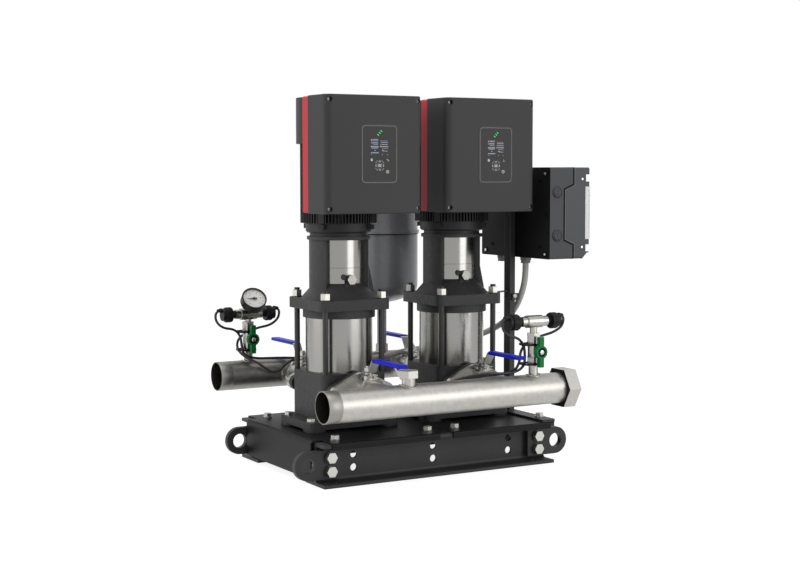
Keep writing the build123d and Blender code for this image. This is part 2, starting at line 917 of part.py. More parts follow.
# Pump head: collar and square flange, cone, two column walls, ring, gusset rib and vent boss
with BuildPart() as head:
    with BuildSketch(Plane.XY.offset(head_bottom)):
        Circle(collar_radius)
    extrude(amount=collar_height)
    with BuildSketch(Plane.XY.offset(head_bottom + collar_height)):
        RectangleRounded(2 * head_half, 2 * head_half, head_corner)
    extrude(amount=head_top - head_bottom - collar_height)
    with Locations((0, 0, head_top)):
        Cone(
            cone_foot_radius,
            cone_top_radius,
            cone_top - head_top,
            align=(Align.CENTER, Align.CENTER, Align.MIN),
        )
    for side in (0, 1):
        with BuildSketch(radial(180 * side - column_half_angle)):
            with Locations(((column_radius + column_inner) / 2, (head_top + stool_top) / 2)):
                Rectangle(column_radius - column_inner, stool_top - head_top)
        revolve(axis=Axis.Z, revolution_arc=2 * column_half_angle)
    with BuildSketch(radial(0)):
        with BuildLine():
            Polyline(
                (column_inner + guard_sheet, head_top),
                (rib_radius, head_top),
                (rib_radius, rib_shoulder),
                (rib_neck_radius, rib_top),
                (column_inner + guard_sheet, rib_top + rib_slope),
                close=True,
            )
        make_face()
    extrude(amount=rib_width / 2, both=True)
    with BuildSketch(Plane.XY.offset(stool_top)):
        Circle(ring_radius)
        Circle(ring_bore, mode=Mode.SUBTRACT)
    extrude(amount=ring_height)
    with BuildSketch(facing(0, -vent_reach, vent_z, -1)):
        with Locations((vent_x, 0)):
            Circle(vent_boss)
        with Locations((vent_x + knob_shift, knob_rise)):
            Circle(knob_radius)
    extrude(amount=column_inner + running_gap - vent_reach)
    with BuildSketch(Plane.YZ.offset(vent_x)):
        with BuildLine():
            Polyline(
                (-column_inner - running_gap, head_top),
                (-vent_block_foot, head_top),
                (-vent_reach, head_top + vent_block_top),
                (-column_inner - running_gap, vent_z),
                close=True,
            )
        make_face()
    extrude(amount=vent_block_half, both=True)
    with BuildSketch(facing(vent_x, -vent_reach, vent_z, -1)):
        Circle(vent_thread)
    extrude(amount=-vent_thread_depth, mode=Mode.SUBTRACT)
    with BuildSketch(Plane.XY.offset(head_bottom)):
        Circle(seal_radius)
    extrude(amount=cone_top - head_bottom, mode=Mode.SUBTRACT)
    with BuildSketch(Plane.XY.offset(head_bottom)):
        Circle(sleeve_radius + journal_gap)
        Circle(sleeve_radius - sleeve_wall - journal_gap, mode=Mode.SUBTRACT)
    extrude(amount=sleeve_seat, mode=Mode.SUBTRACT)
    with BuildSketch(Plane.XY.offset(head_top)):
        with GridLocations(2 * stay_half, 2 * stay_half, 2, 2):
            Circle(stay_rod / 2 + hole_gap)
    extrude(amount=head_bottom + collar_height - head_top, mode=Mode.SUBTRACT)


# Coupling guards: thin curved sheets in the two windows of the stool, lapped at mid height
guard_radius = column_inner - running_gap
guard_bottom = cone_top
with BuildPart() as guards:
    for side in (-1, 1):
        with BuildSketch(radial(90 * side - guard_half_angle)):
            with Locations((guard_radius - guard_sheet / 2, (guard_bottom + stool_top) / 2)):
                Rectangle(guard_sheet, stool_top - guard_bottom)
            with Locations((guard_radius - guard_sheet, (guard_bottom + guard_seam) / 2)):
                Rectangle(guard_sheet, guard_seam - guard_bottom)
        revolve(axis=Axis.Z, revolution_arc=2 * guard_half_angle)


# Vent plug, and the shaft seal with its plate
with BuildPart() as vent_plug:
    with BuildSketch(facing(vent_x, -vent_reach, vent_z, -1)):
        RegularPolygon(vent_flats / 2, 6, major_radius=False)
    extrude(amount=vent_head)
    with BuildSketch(facing(vent_x, -vent_reach, vent_z, -1)):
        Circle(vent_thread - journal_gap)
    extrude(amount=-vent_thread_depth)

with BuildPart() as seal:
    with BuildSketch(Plane.XY.offset(seal_bottom)):
        Circle(seal_radius - journal_gap)
        Circle(shaft_radius + journal_gap, mode=Mode.SUBTRACT)
    extrude(amount=cone_top - seal_bottom)
    with BuildSketch(Plane.XY.offset(cone_top)):
        Circle(seal_plate_radius)
        Circle(shaft_radius + journal_gap, mode=Mode.SUBTRACT)
    extrude(amount=seal_plate)


# Motor: spigot, drum with four lugs, finned frame with four screw bosses and the flat for the drive
with BuildPart() as motor:
    with BuildSketch(Plane.XY.offset(motor_bottom)):
        Circle(spigot_radius)
    extrude(amount=spigot_height)
    with Locations((0, 0, motor_bottom + spigot_height)):
        Cone(
            drum_radius - drum_chamfer,
            drum_radius,
            drum_chamfer,
            align=(Align.CENTER, Align.CENTER, Align.MIN),
        )
    with BuildSketch(Plane.XY.offset(motor_bottom + spigot_height + drum_chamfer)):
        Circle(drum_radius)
    extrude(amount=drum_top - motor_bottom - spigot_height - drum_chamfer)
    with BuildSketch(Plane.XY.offset(motor_bottom + drum_lug_lift)):
        with PolarLocations(drum_lug_reach / 2, 4, start_angle=drum_lug_angle):
            Rectangle(drum_lug_reach, drum_lug_width)
    extrude(amount=drum_lug_height)
    with BuildSketch(Plane.XY.offset(drum_top)):
        Circle(motor_core)
        fin_middle = (motor_core + fin_radius) / 2 - drum_chamfer
        with PolarLocations(fin_middle, fin_count, start_angle=180 / fin_count):
            Rectangle(fin_radius - motor_core + 2 * drum_chamfer, fin_width)
        with PolarLocations(fin_radius / 2, 4, start_angle=drum_lug_angle):
            Rectangle(fin_radius, fin_boss_width)
    extrude(amount=fin_length)
    with BuildSketch(Plane.XY.offset(drive_bottom - running_gap)):
        with Locations((0, -drive_back - cowl_radius / 2)):
            Rectangle(2 * cowl_radius, cowl_radius)
    extrude(amount=motor_top - drive_bottom + running_gap, mode=Mode.SUBTRACT)
    with BuildSketch(Plane.XY.offset(rotor_bottom - running_gap)):
        Circle(rotor_radius + running_gap)
    extrude(amount=rotor_top - rotor_bottom + 2 * running_gap, mode=Mode.SUBTRACT)
    with BuildSketch(Plane.XY.offset(motor_bottom)):
        Circle(shaft_radius + journal_gap)
    extrude(amount=motor_top - motor_bottom, mode=Mode.SUBTRACT)


# Fan cowl: deep cap with the same flat, a ledge on the fins and a slotted top
with BuildPart() as cowl:
    with BuildSketch(Plane.XY.offset(motor_top)):
        Circle(cowl_radius)
        with Locations((0, -drive_back - cowl_radius / 2)):
            Rectangle(2 * cowl_radius, cowl_radius, mode=Mode.SUBTRACT)
    extrude(amount=cowl_top - motor_top)
    with BuildSketch(Plane.XY.offset(motor_top + cowl_ledge)):
        Circle(cowl_radius - cowl_sheet)
        with Locations((0, cowl_sheet - drive_back - cowl_radius / 2)):
            Rectangle(2 * cowl_radius, cowl_radius, mode=Mode.SUBTRACT)
    extrude(amount=cowl_top - motor_top - cowl_ledge - cowl_sheet, mode=Mode.SUBTRACT)
    with BuildSketch(Plane.XY.offset(motor_top)):
        Circle(cowl_mouth)
    extrude(amount=cowl_ledge, mode=Mode.SUBTRACT)
    with BuildSketch(Plane.XY.offset(cowl_top)):
        with GridLocations(1, grille_pitch, 1, grille_bars):
            Rectangle(grille_slot_length, grille_slot)
    extrude(amount=-cowl_sheet, mode=Mode.SUBTRACT)


# Drive: shell against the motor, crowned cover in front, keypad panel flush in the cover
with BuildPart() as shell:
    with BuildSketch(facing(0, -drive_back, drive_z, -1)):
        RectangleRounded(2 * drive_half - cover_chamfer, drive_height - cover_chamfer, shell_corner)
    extrude(amount=drive_joint - drive_back)
    with BuildSketch(facing(0, -drive_joint, drive_z, -1)):
        Rectangle(2 * (drive_half - 2 * drive_wall), drive_height - 4 * drive_wall)
    extrude(amount=drive_back + drive_wall - drive_joint, mode=Mode.SUBTRACT)

with BuildPart() as cover:
    with BuildSketch(Plane.XY.offset(drive_bottom)):
        with BuildLine():
            crown = ThreePointArc(
                (-drive_half, drive_crown - drive_front), (0, -drive_front),
                (drive_half, drive_crown - drive_front)
            )
            Polyline(crown @ 1, (drive_half, -drive_joint), (-drive_half, -drive_joint), crown @ 0)
        make_face()
    extrude(amount=drive_height)
    front_uprights = cover.edges().filter_by(Axis.Z).sort_by(Axis.Y)[:2]
    fillet(front_uprights, drive_fillet)
    front_edges = cover.edges().filter_by(lambda edge: edge.center().Y < -drive_joint - 1)
    rims = front_edges.filter_by(Axis.Z, reverse=True)
    chamfer(rims, cover_chamfer)
    with BuildSketch(facing(0, -drive_joint, drive_z, -1)):
        Rectangle(2 * (drive_half - drive_fillet), drive_height - 4 * drive_wall)
    extrude(amount=drive_front - drive_joint - drive_crown - drive_wall - panel_sheet, mode=Mode.SUBTRACT)
    with BuildSketch(facing(panel_x, -drive_front, panel_z, -1)):
        RectangleRounded(panel_width + running_gap, panel_height + running_gap, panel_corner)
    extrude(amount=-panel_sheet, mode=Mode.SUBTRACT)
    with BuildSketch(facing(0, -drive_front, drive_z, -1)):
        with GridLocations(2 * (drive_half - cover_screw_inset), drive_height - 2 * cover_screw_inset, 2, 2):
            Circle(cover_screw_bore / 2)
    extrude(amount=-drive_crown - cover_screw_depth, mode=Mode.SUBTRACT)

with BuildPart() as panel:
    with BuildSketch(facing(panel_x, panel_sheet - drive_front, panel_z, -1)):
        RectangleRounded(panel_width, panel_height, panel_corner)
    extrude(amount=panel_sheet)


# Rotating set of one pump: pump shaft, motor shaft with rotor core and fan, impellers, coupling
with BuildPart() as shafts:
    with BuildSketch(Plane.XY.offset(shaft_bottom)):
        Circle(shaft_radius)
    extrude(amount=shaft_joint - shaft_bottom)
    with BuildSketch(Plane.XY.offset(shaft_joint + running_gap)):
        Circle(shaft_radius)
    extrude(amount=fan_bottom + fan_height - shaft_joint - running_gap)
    with BuildSketch(Plane.XY.offset(rotor_bottom)):
        Circle(rotor_radius)
    extrude(amount=rotor_top - rotor_bottom)
    with BuildSketch(Plane.XY.offset(fan_bottom)):
        Circle(fan_hub)
        with PolarLocations((shaft_radius + fan_radius) / 2, fan_blades):
            Rectangle(fan_radius - shaft_radius, fan_blade)
    extrude(amount=fan_height)

with BuildPart() as impeller:
    with BuildSketch():
        Circle(impeller_radius)
    extrude(amount=impeller_plate)
    with BuildSketch():
        Circle(impeller_hub)
    extrude(amount=impeller_width)
    with BuildSketch():
        with PolarLocations((shaft_radius + impeller_radius - impeller_plate) / 2, impeller_vanes):
            Rectangle(impeller_radius - impeller_plate - shaft_radius, impeller_plate)
    extrude(amount=impeller_width)
    with BuildSketch(Plane.XY.offset(impeller_width - impeller_plate)):
        Circle(impeller_radius)
        Circle(chamber_eye - chamber_wall, mode=Mode.SUBTRACT)
    extrude(amount=impeller_plate)
    with BuildSketch():
        Circle(shaft_radius)
    extrude(amount=impeller_width, mode=Mode.SUBTRACT)

impeller_lift = stack_bottom + chamber_divider + (stage_pitch - chamber_divider - impeller_width) / 2
with BuildPart() as impellers:
    for stage in range(stage_count):
        with Locations((0, 0, impeller_lift + stage * stage_pitch)):
            add(impeller.part)

with BuildPart() as coupling:
    with BuildSketch(Plane.XY.offset(coupling_bottom)):
        Circle(coupling_radius)
        Circle(shaft_radius, mode=Mode.SUBTRACT)
        with Locations((0, (coupling_radius + shaft_radius) / 2), (0, -(coupling_radius + shaft_radius) / 2)):
            Rectangle(coupling_slit, coupling_radius, mode=Mode.SUBTRACT)
    extrude(amount=coupling_height)
    with BuildSketch(Plane.XZ):
        with Locations((0, coupling_bottom + coupling_height / 2)):
            with GridLocations(2 * coupling_screw_x, coupling_height - 2 * coupling_screw_inset, 2, 2):
                Circle(coupling_screw / 2)
    extrude(amount=coupling_radius, both=True, mode=Mode.SUBTRACT)


# Ball valve about its ball centre: hexagon ends, barrel, neck and the stop plate of the lever
with BuildPart() as ball_valve:
    for side in (-1, 1):
        with BuildSketch(facing(0, side * valve_half, 0, side)):
            RegularPolygon(valve_flats / 2, 6, major_radius=False)
        extrude(amount=-valve_hexagon)
    with BuildSketch(Plane.XZ):
        Circle(valve_barrel)
    extrude(amount=valve_half - valve_hexagon, both=True)
    with BuildSketch():
        Circle(valve_neck)
    extrude(amount=valve_neck_height)
    with BuildSketch(Plane.XY.offset(valve_neck_height)):
        Rectangle(stop_width, stop_length)
    extrude(amount=stop_sheet)
    with BuildSketch(Plane.XZ):
        Circle(port_bore)
    extrude(amount=valve_half, both=True, mode=Mode.SUBTRACT)
    Sphere(valve_ball + running_gap, mode=Mode.SUBTRACT)
    with BuildSketch():
        Circle(stem_radius + journal_gap)
    extrude(amount=valve_neck_height + stop_sheet, mode=Mode.SUBTRACT)

with BuildPart() as ball_stem:
    Sphere(valve_ball)
    with BuildSketch(Plane.XZ):
        Circle(valve_ball_bore)
    extrude(amount=valve_ball, both=True, mode=Mode.SUBTRACT)
    with BuildSketch(Plane.XY.offset((valve_ball + valve_ball_bore) / 2)):
        Circle(stem_radius)
    extrude(amount=lever_seat + lever_sheet + stem_nut + stem_end - (valve_ball + valve_ball_bore) / 2)
    with BuildSketch(Plane.XY.offset(valve_neck_height + stop_sheet + running_gap)):
        Circle(stem_shoulder)
    extrude(amount=stem_shoulder_height)
    with BuildSketch(Plane.XY.offset(lever_seat + lever_sheet)):
        RegularPolygon(stem_nut_flats / 2, 6, major_radius=False)
    extrude(amount=stem_nut)

# Lever from its stem outwards along +Y, and the grip drawn over its end
lever_top = lever_seat + lever_rise
with BuildPart() as lever:
    with BuildSketch(Plane.YZ):
        with BuildLine():
            FilletPolyline(
                (-lever_heel, lever_seat),
                (lever_foot, lever_seat),
                (lever_rise_end, lever_top),
                (lever_end, lever_top),
                radius=lever_bend,
            )
            offset(amount=lever_sheet, side=Side.LEFT)
        make_face()
    extrude(amount=lever_width / 2, both=True)
    with BuildSketch(Plane.XY.offset(lever_seat)):
        Circle(stem_radius + journal_gap)
    extrude(amount=lever_sheet, mode=Mode.SUBTRACT)

with BuildPart() as grip:
    with BuildSketch(facing(0, grip_start, lever_top + lever_sheet / 2, 1)):
        RectangleRounded(grip_width, grip_height, grip_corner)
    extrude(amount=grip_end - grip_start)
    with BuildSketch(facing(0, grip_start, lever_top + lever_sheet / 2, 1)):
        Rectangle(lever_width, lever_sheet)
    extrude(amount=lever_end - grip_start, mode=Mode.SUBTRACT)

# Check valve about its middle: hexagon ends, barrel, chamber, and the poppet on its seat
check_half = (discharge_stem - valve_half - counter_face) / 2
chamber_half = check_half - valve_hexagon
with BuildPart() as check_valve:
    for side in (-1, 1):
        with BuildSketch(facing(0, side * check_half, 0, side)):
            RegularPolygon(valve_flats / 2, 6, major_radius=False)
        extrude(amount=-valve_hexagon)
    with BuildSketch(Plane.XZ):
        Circle(check_barrel)
    extrude(amount=chamber_half, both=True)
    with BuildSketch(Plane.XZ):
        Circle(port_bore)
    extrude(amount=check_half, both=True, mode=Mode.SUBTRACT)
    with BuildSketch(Plane.XZ):
        Circle(check_chamber)
    extrude(amount=chamber_half, both=True, mode=Mode.SUBTRACT)
    with BuildSketch(Plane.XZ.offset(chamber_half)):
        Circle(poppet_radius)
    extrude(amount=-poppet_sheet)


# Header pipe of one side with its branches and the stubs on top
def manifold(side, branch_start, stubs):
    """Pipe along X turned down at its open end, branches to both pumps, stubs given as x, radius and top."""
    length = manifold_offset - branch_start
    with BuildPart() as header:
        with BuildSketch(endwise(pipe_left, side * manifold_offset, port_height, 1)):
            Circle(pipe_radius)
        extrude(amount=pipe_right - pipe_left)
        with BuildSketch(endwise(pipe_left, side * manifold_offset, port_height, 1)):
            Circle(pipe_radius)
            Circle(pipe_radius - pipe_end_step, mode=Mode.SUBTRACT)
        extrude(amount=pipe_end_band, mode=Mode.SUBTRACT)
        with BuildSketch(facing(0, side * branch_start, port_height, side)):
            with GridLocations(pump_spacing, 1, 2, 1):
                Circle(branch_radius)
        extrude(amount=length)
        for x, radius, top in stubs:
            with BuildSketch(Plane.XY.offset(port_height)):
                with Locations((x, side * manifold_offset)):
                    Circle(radius)
            extrude(amount=top - port_height)
        with BuildSketch(endwise(pipe_left, side * manifold_offset, port_height, 1)):
            Circle(pipe_radius - pipe_wall)
        extrude(amount=pipe_right - pipe_left, mode=Mode.SUBTRACT)
        with BuildSketch(facing(0, side * branch_start, port_height, side)):
            with GridLocations(pump_spacing, 1, 2, 1):
                Circle(branch_radius - pipe_wall)
        extrude(amount=length, mode=Mode.SUBTRACT)
        for x, radius, top in stubs:
            with BuildSketch(Plane.XY.offset(port_height)):
                with Locations((x, side * manifold_offset)):
                    Circle(radius - stub_wall)
            extrude(amount=top - port_height, mode=Mode.SUBTRACT)
    return header.part


suction_stubs = [(front_sensor_x, sensor_stub, sensor_stub_top), (plug_x, plug_stub, plug_stub_top)]
suction_manifold = manifold(-1, suction_stem + valve_half, suction_stubs)
suction_manifold.label = "suction_manifold"
export_step(suction_manifold, "parts/suction_manifold.step")

discharge_stubs = [(rear_sensor_x, sensor_stub, sensor_stub_top), (tank_x, tank_stub, tank_stub_top)]
discharge_manifold = manifold(1, discharge_stem + valve_half, discharge_stubs)
discharge_manifold.label = "discharge_manifold"
export_step(discharge_manifold, "parts/discharge_manifold.step")


# Hexagon caps on the right ends of the manifolds, and the plug on the suction side
with BuildPart() as manifold_caps:
    for side in (-1, 1):
        with BuildSketch(endwise(cap_start, side * manifold_offset, port_height, 1)):
            RegularPolygon(cap_flats / 2, 6, major_radius=False)
        extrude(amount=cap_end - cap_start)
    chamfer(manifold_caps.faces().filter_by(Axis.X).sort_by(Axis.X)[-2:].edges(), cap_chamfer)
    for side in (-1, 1):
        with BuildSketch(endwise(cap_start, side * manifold_offset, port_height, 1)):
            Circle(pipe_radius + journal_gap)
        extrude(amount=pipe_right - cap_start, mode=Mode.SUBTRACT)
    with BuildSketch(Plane.XY.offset(plug_stub_top)):
        with Locations((plug_x, -manifold_offset)):
            RegularPolygon(plug_flats / 2, 6, major_radius=False)
    extrude(amount=plug_head)
manifold_caps.part.label = "manifold_caps"
export_step(manifold_caps.part, "parts/manifold_caps.step")


# Pieces that both pumps share in shape, two solids to a node
counter_places = [(x, y) for x in pump_xs for y in (-1, 1)]
with BuildPart() as port_flanges:
    for x, side in counter_places:
        with BuildSketch(facing(x, side * counter_back, port_height, side)):
            add(oval_flange.sketch)
        extrude(amount=counter_sheet)
        with BuildSketch(facing(x, side * flange_face, port_height, side)):
            Circle(port_neck)
            Circle(port_bore, mode=Mode.SUBTRACT)
        extrude(amount=flange_joint)
port_flanges.part.label = "port_flanges"
export_step(port_flanges.part, "parts/port_flanges.step")

with BuildPart() as valve_bodies:
    with Locations(*[(x, y, port_height) for x in pump_xs for y in (-suction_stem, discharge_stem)]):
        add(ball_valve.part)
valve_bodies.part.label = "valve_bodies"
export_step(valve_bodies.part, "parts/valve_bodies.step")

with BuildPart() as check_valves:
    with Locations(*[(x, counter_face + check_half, port_height) for x in pump_xs]):
        add(check_valve.part)
check_valves.part.label = "check_valves"
export_step(check_valves.part, "parts/check_valves.step")

pump_pieces = {
    "pump_casings": casing,
    "pump_sleeves": sleeve,
    "chamber_stacks": stack,
    "pump_heads": head,
    "coupling_guards": guards,
    "vent_plugs": vent_plug,
    "shaft_seals": seal,
    "motor_housings": motor,
    "fan_cowls": cowl,
    "drive_shells": shell,
    "drive_covers": cover,
    "display_panels": panel,
}
for name, piece in pump_pieces.items():
    with BuildPart() as pair:
        with Locations(*[(x, 0, 0) for x in pump_xs]):
            add(piece.part)
    pair.part.label = name
    export_step(pair.part, "parts/" + name + ".step")

for number, x in enumerate(pump_xs, start=1):
    for name, piece in {"shaft": shafts, "impellers": impellers, "coupling": coupling}.items():
        with BuildPart() as turning:
            with Locations((x, 0, 0)):
                add(piece.part)
        turning.part.label = name + "_" + str(number)
        export_step(turning.part, "parts/" + turning.part.label + ".step")

for side, stem_y, place in ((-1, suction_stem, "suction"), (1, discharge_stem, "discharge")):
    for number, x in enumerate(pump_xs, start=1):
        for name, piece in {"stem": ball_stem, "lever": lever, "grip": grip}.items():
            with BuildPart() as moving:
                with Locations(Location((x, side * stem_y, port_height), (0, 0, 90 - 90 * side))):
                    add(piece.part)
            moving.part.label = place + "_" + name + "_" + str(number)
            export_step(moving.part, "parts/" + moving.part.label + ".step")


# Sensor sets: x, y, number and tee height of the rear and the front one
sensor_sets = (
    (rear_sensor_x, manifold_offset, 1, rear_tee_z),
    (front_sensor_x, -manifold_offset, 2, front_tee_z),
)
handle_z = sensor_stub_top + sensor_valve_height / 2
valve_top = sensor_stub_top + sensor_valve_height

with BuildPart() as sensor_valves:
    for x, y, number, tee_z in sensor_sets:
        for z in (sensor_stub_top, valve_top - sensor_hexagon_height):
            with BuildSketch(Plane.XY.offset(z)):
                with Locations((x, y)):
                    RegularPolygon(sensor_hexagon / 2, 6, major_radius=False)
            extrude(amount=sensor_hexagon_height)
        with BuildSketch(Plane.XY.offset(sensor_stub_top + sensor_hexagon_height)):
            with Locations((x, y)):
                Circle(sensor_barrel)
        extrude(amount=sensor_valve_height - 2 * sensor_hexagon_height)
        with BuildSketch(facing(x, y, handle_z, -1)):
            Circle(sensor_neck)
        extrude(amount=handle_reach - running_gap)
        with BuildSketch(Plane.XY.offset(sensor_stub_top)):
            with Locations((x, y)):
                Circle(sensor_bore)
        extrude(amount=sensor_valve_height, mode=Mode.SUBTRACT)
        with Locations((x, y, handle_z)):
            Sphere(sensor_ball + running_gap, mode=Mode.SUBTRACT)
        with BuildSketch(facing(x, y, handle_z, -1)):
            Circle(spindle_radius + journal_gap)
        extrude(amount=handle_reach, mode=Mode.SUBTRACT)
sensor_valves.part.label = "sensor_valves"
export_step(sensor_valves.part, "parts/sensor_valves.step")

for x, y, number, tee_z in sensor_sets:
    with BuildPart() as butterfly:
        with BuildSketch(facing(x, y - handle_reach, handle_z, -1)):
            Circle(handle_hub)
            Rectangle(handle_wing, 2 * handle_half)
        extrude(amount=handle_depth)
        with BuildSketch(facing(x, y - handle_reach - handle_depth, handle_z, -1)):
            Circle(handle_recess)
            Circle(handle_nut, mode=Mode.SUBTRACT)
        extrude(amount=-handle_recess_depth, mode=Mode.SUBTRACT)
        with BuildSketch(facing(x, y, handle_z, -1)):
            Circle(spindle_radius)
        extrude(amount=handle_reach)
        with Locations((x, y, handle_z)):
            Sphere(sensor_ball)
        with BuildSketch(Plane.XY.offset(handle_z)):
            with Locations((x, y)):
                Circle(sensor_bore)
        extrude(amount=sensor_ball, both=True, mode=Mode.SUBTRACT)
    butterfly.part.label = "butterfly_handle_" + str(number)
    export_step(butterfly.part, "parts/" + butterfly.part.label + ".step")


# Gauge frame: origin at the dial centre, own z out of the dial, own x to its right
turn = radians(gauge_turn)
tilt = radians(gauge_tilt)
dial = Plane(
    origin=gauge_centre,
    x_dir=(cos(turn), -sin(turn), 0),
    z_dir=(-sin(turn) * cos(tilt), -cos(turn) * cos(tilt), sin(tilt)),
)

with BuildPart() as sensor_tees:
    for x, y, number, tee_z in sensor_sets:
        with BuildSketch(Plane.XY.offset(valve_top)):
            with Locations((x, y)):
                RegularPolygon(union_flats / 2, 6, major_radius=False)
        extrude(amount=union_height)
        with BuildSketch(Plane.XY.offset(valve_top + union_height)):
            with Locations((x, y)):
                Circle(union_pipe)
        extrude(amount=tee_z - valve_top - union_height)
        with BuildSketch(endwise(x, y, tee_z, 1)):
            Circle(tee_radius)
        extrude(amount=tee_half, both=True)
        with BuildSketch(endwise(x, y, tee_z, 1)):
            Circle(tee_collar)
        extrude(amount=tee_end, both=True)
    with BuildSketch(dial.offset(-gauge_depth - gauge_stem_length)):
        Circle(gauge_boss)
    extrude(amount=-gauge_boss_length)
    for x, y, number, tee_z in sensor_sets:
        with BuildSketch(endwise(x, y, tee_z, 1)):
            Circle(sensor_bore)
        extrude(amount=tee_end, both=True, mode=Mode.SUBTRACT)
        with BuildSketch(Plane.XY.offset(valve_top)):
            with Locations((x, y)):
                Circle(sensor_bore)
        extrude(amount=tee_z - valve_top, mode=Mode.SUBTRACT)
sensor_tees.part.label = "sensor_tees"
export_step(sensor_tees.part, "parts/sensor_tees.step")

with BuildPart() as pressure_sensors:
    for x, y, number, tee_z in sensor_sets:
        for side in (-1, 1):
            for start, stop, radius in (
                (tee_end, sensor_neck_end, sensor_neck_radius),
                (sensor_neck_end, sensor_ring_end, sensor_ring),
                (sensor_ring_end, sensor_cap_end, sensor_cap),
            ):
                with BuildSketch(endwise(x + side * start, y, tee_z, side)):
                    Circle(radius)
                extrude(amount=stop - start)
pressure_sensors.part.label = "pressure_sensors"
export_step(pressure_sensors.part, "parts/pressure_sensors.step")

with BuildPart() as gauge_case:
    with BuildSketch(dial.offset(-gauge_depth)):
        Circle(gauge_radius)
    extrude(amount=gauge_depth)
    with BuildSketch(dial):
        Circle(gauge_radius - gauge_bezel)
    extrude(amount=-gauge_recess, mode=Mode.SUBTRACT)
    with BuildSketch(dial.offset(-gauge_depth)):
        Circle(gauge_stem)
    extrude(amount=-gauge_stem_length)
    with BuildSketch(dial.offset(-gauge_recess)):
        Circle(pointer_pin)
    extrude(amount=gauge_recess - pointer_sheet)
gauge_case.part.label = "gauge_case"
export_step(gauge_case.part, "parts/gauge_case.step")

with BuildPart() as gauge_pointer:
    with BuildSketch(dial.offset(-gauge_recess / 2)):
        Circle(pointer_hub)
        with BuildLine():
            Polyline(
                (0, pointer_width),
                (-pointer_length, 0),
                (0, -pointer_width),
                (pointer_tail, -pointer_width),
                (pointer_tail, pointer_width),
                close=True,
            )
        make_face()
        Circle(pointer_pin + journal_gap, mode=Mode.SUBTRACT)
    extrude(amount=pointer_sheet)
gauge_pointer.part.label = "gauge_pointer"
export_step(gauge_pointer.part, "parts/gauge_pointer.step")


# Diaphragm tank: shells, ridge and nipple turned as one profile, and the diaphragm across the ridge
def tank_outline(inset):
    """Half outline of the shells, drawn inwards by the inset: two crowns on the axis, two knuckles."""
    rim = tank_radius - inset
    crown = (tank_radius**2 + tank_crown**2) / (2 * tank_crown) - inset
    rim_rise = crown - sqrt(crown**2 - rim**2)
    middle_rise = crown - sqrt(crown**2 - rim**2 / 4)
    low = tank_bottom + inset
    high = tank_top - inset
    with BuildSketch() as outline:
        with BuildLine():
            lower = ThreePointArc((0, low), (rim / 2, low + middle_rise), (rim, low + rim_rise))
            wall = Line(lower @ 1, (rim, high - rim_rise))
            upper = ThreePointArc(wall @ 1, (rim / 2, high - middle_rise), (0, high))
            Line(upper @ 1, lower @ 0)
        make_face()
        fillet(outline.vertices().group_by(Axis.X)[-1], tank_knuckle - inset)
    return outline.sketch


tank_shell = tank_outline(0)
tank_cavity = tank_outline(tank_wall)
nipple_height = tank_bottom + 2 * tank_wall - tank_stub_top
ridge_z = (tank_ridge_bottom + tank_ridge_top) / 2
with BuildPart() as tank:
    with BuildSketch(Plane.XZ):
        add(tank_shell)
        with Locations((0, tank_stub_top)):
            Rectangle(tank_nipple, nipple_height, align=(Align.MIN, Align.MIN))
        with Locations((0, tank_ridge_bottom)):
            Rectangle(tank_ridge, tank_ridge_top - tank_ridge_bottom, align=(Align.MIN, Align.MIN))
        add(tank_cavity, mode=Mode.SUBTRACT)
        with Locations((0, tank_stub_top)):
            Rectangle(tank_nipple - stub_wall, nipple_height, align=(Align.MIN, Align.MIN), mode=Mode.SUBTRACT)
    revolve(axis=Axis.Z)
    with BuildSketch(Plane.XY.offset(ridge_z)):
        Circle(tank_radius - tank_wall - running_gap)
    extrude(amount=tank_wall)
with BuildPart() as diaphragm_tank:
    with Locations((tank_x, manifold_offset, 0)):
        add(tank.part)
diaphragm_tank.part.label = "diaphragm_tank"
export_step(diaphragm_tank.part, "parts/diaphragm_tank.step")


# Control box on the post: base open to the front, breakers on its back wall
box_y = (box_left + box_right) / 2
box_z = (box_bottom + box_top) / 2
box_width = box_right - box_left
box_height = box_top - box_bottom
breaker_width = box_width - 2 * (window_margin + breaker_margin)
breaker_z = breaker_bottom + breaker_height / 2


def tongue(margin):
    """Outline of a lid tongue seen along Y, larger all round by the margin."""
    with BuildSketch() as outline:
        with BuildLine():
            Polyline(
                (box_front, tongue_bottom - margin),
                (tongue_start - margin, tongue_bottom + tongue_slant - margin),
                (tongue_start - margin, tongue_top - tongue_slant + margin),
                (box_front, tongue_top + margin),
                close=True,
            )
        make_face()
    return outline.sketch


with BuildPart() as control_box:
    with BuildSketch(endwise(box_back, box_y, box_z, 1)):
        RectangleRounded(box_width, box_height, box_corner)
    extrude(amount=box_front - box_back)
    with BuildSketch(endwise(box_back + box_wall, box_y, box_z, 1)):
        RectangleRounded(box_width - 2 * box_wall, box_height - 2 * box_wall, box_corner - box_wall)
    extrude(amount=box_front - box_back - box_wall, mode=Mode.SUBTRACT)
    with BuildSketch(endwise(box_back + box_wall, box_y, breaker_z, 1)):
        Rectangle(breaker_width, breaker_foot)
    extrude(amount=box_front - box_back - box_wall)
    with BuildSketch(endwise(box_front, box_y, breaker_z, 1)):
        Rectangle(breaker_width, breaker_height)
    extrude(amount=breaker_face - box_front)
    with BuildSketch(endwise(box_front - seam_groove, box_y, box_z, 1)):
        RectangleRounded(box_width, box_height, box_corner)
        RectangleRounded(
            box_width - 2 * seam_groove, box_height - 2 * seam_groove, box_corner - seam_groove, mode=Mode.SUBTRACT
        )
    extrude(amount=seam_groove, mode=Mode.SUBTRACT)
    for side, edge in ((-1, box_left), (1, box_right)):
        with BuildSketch(Plane.XZ.offset(-edge)):
            add(tongue(seam_groove))
        extrude(amount=side * tongue_sheet, mode=Mode.SUBTRACT)
control_box.part.label = "control_box"
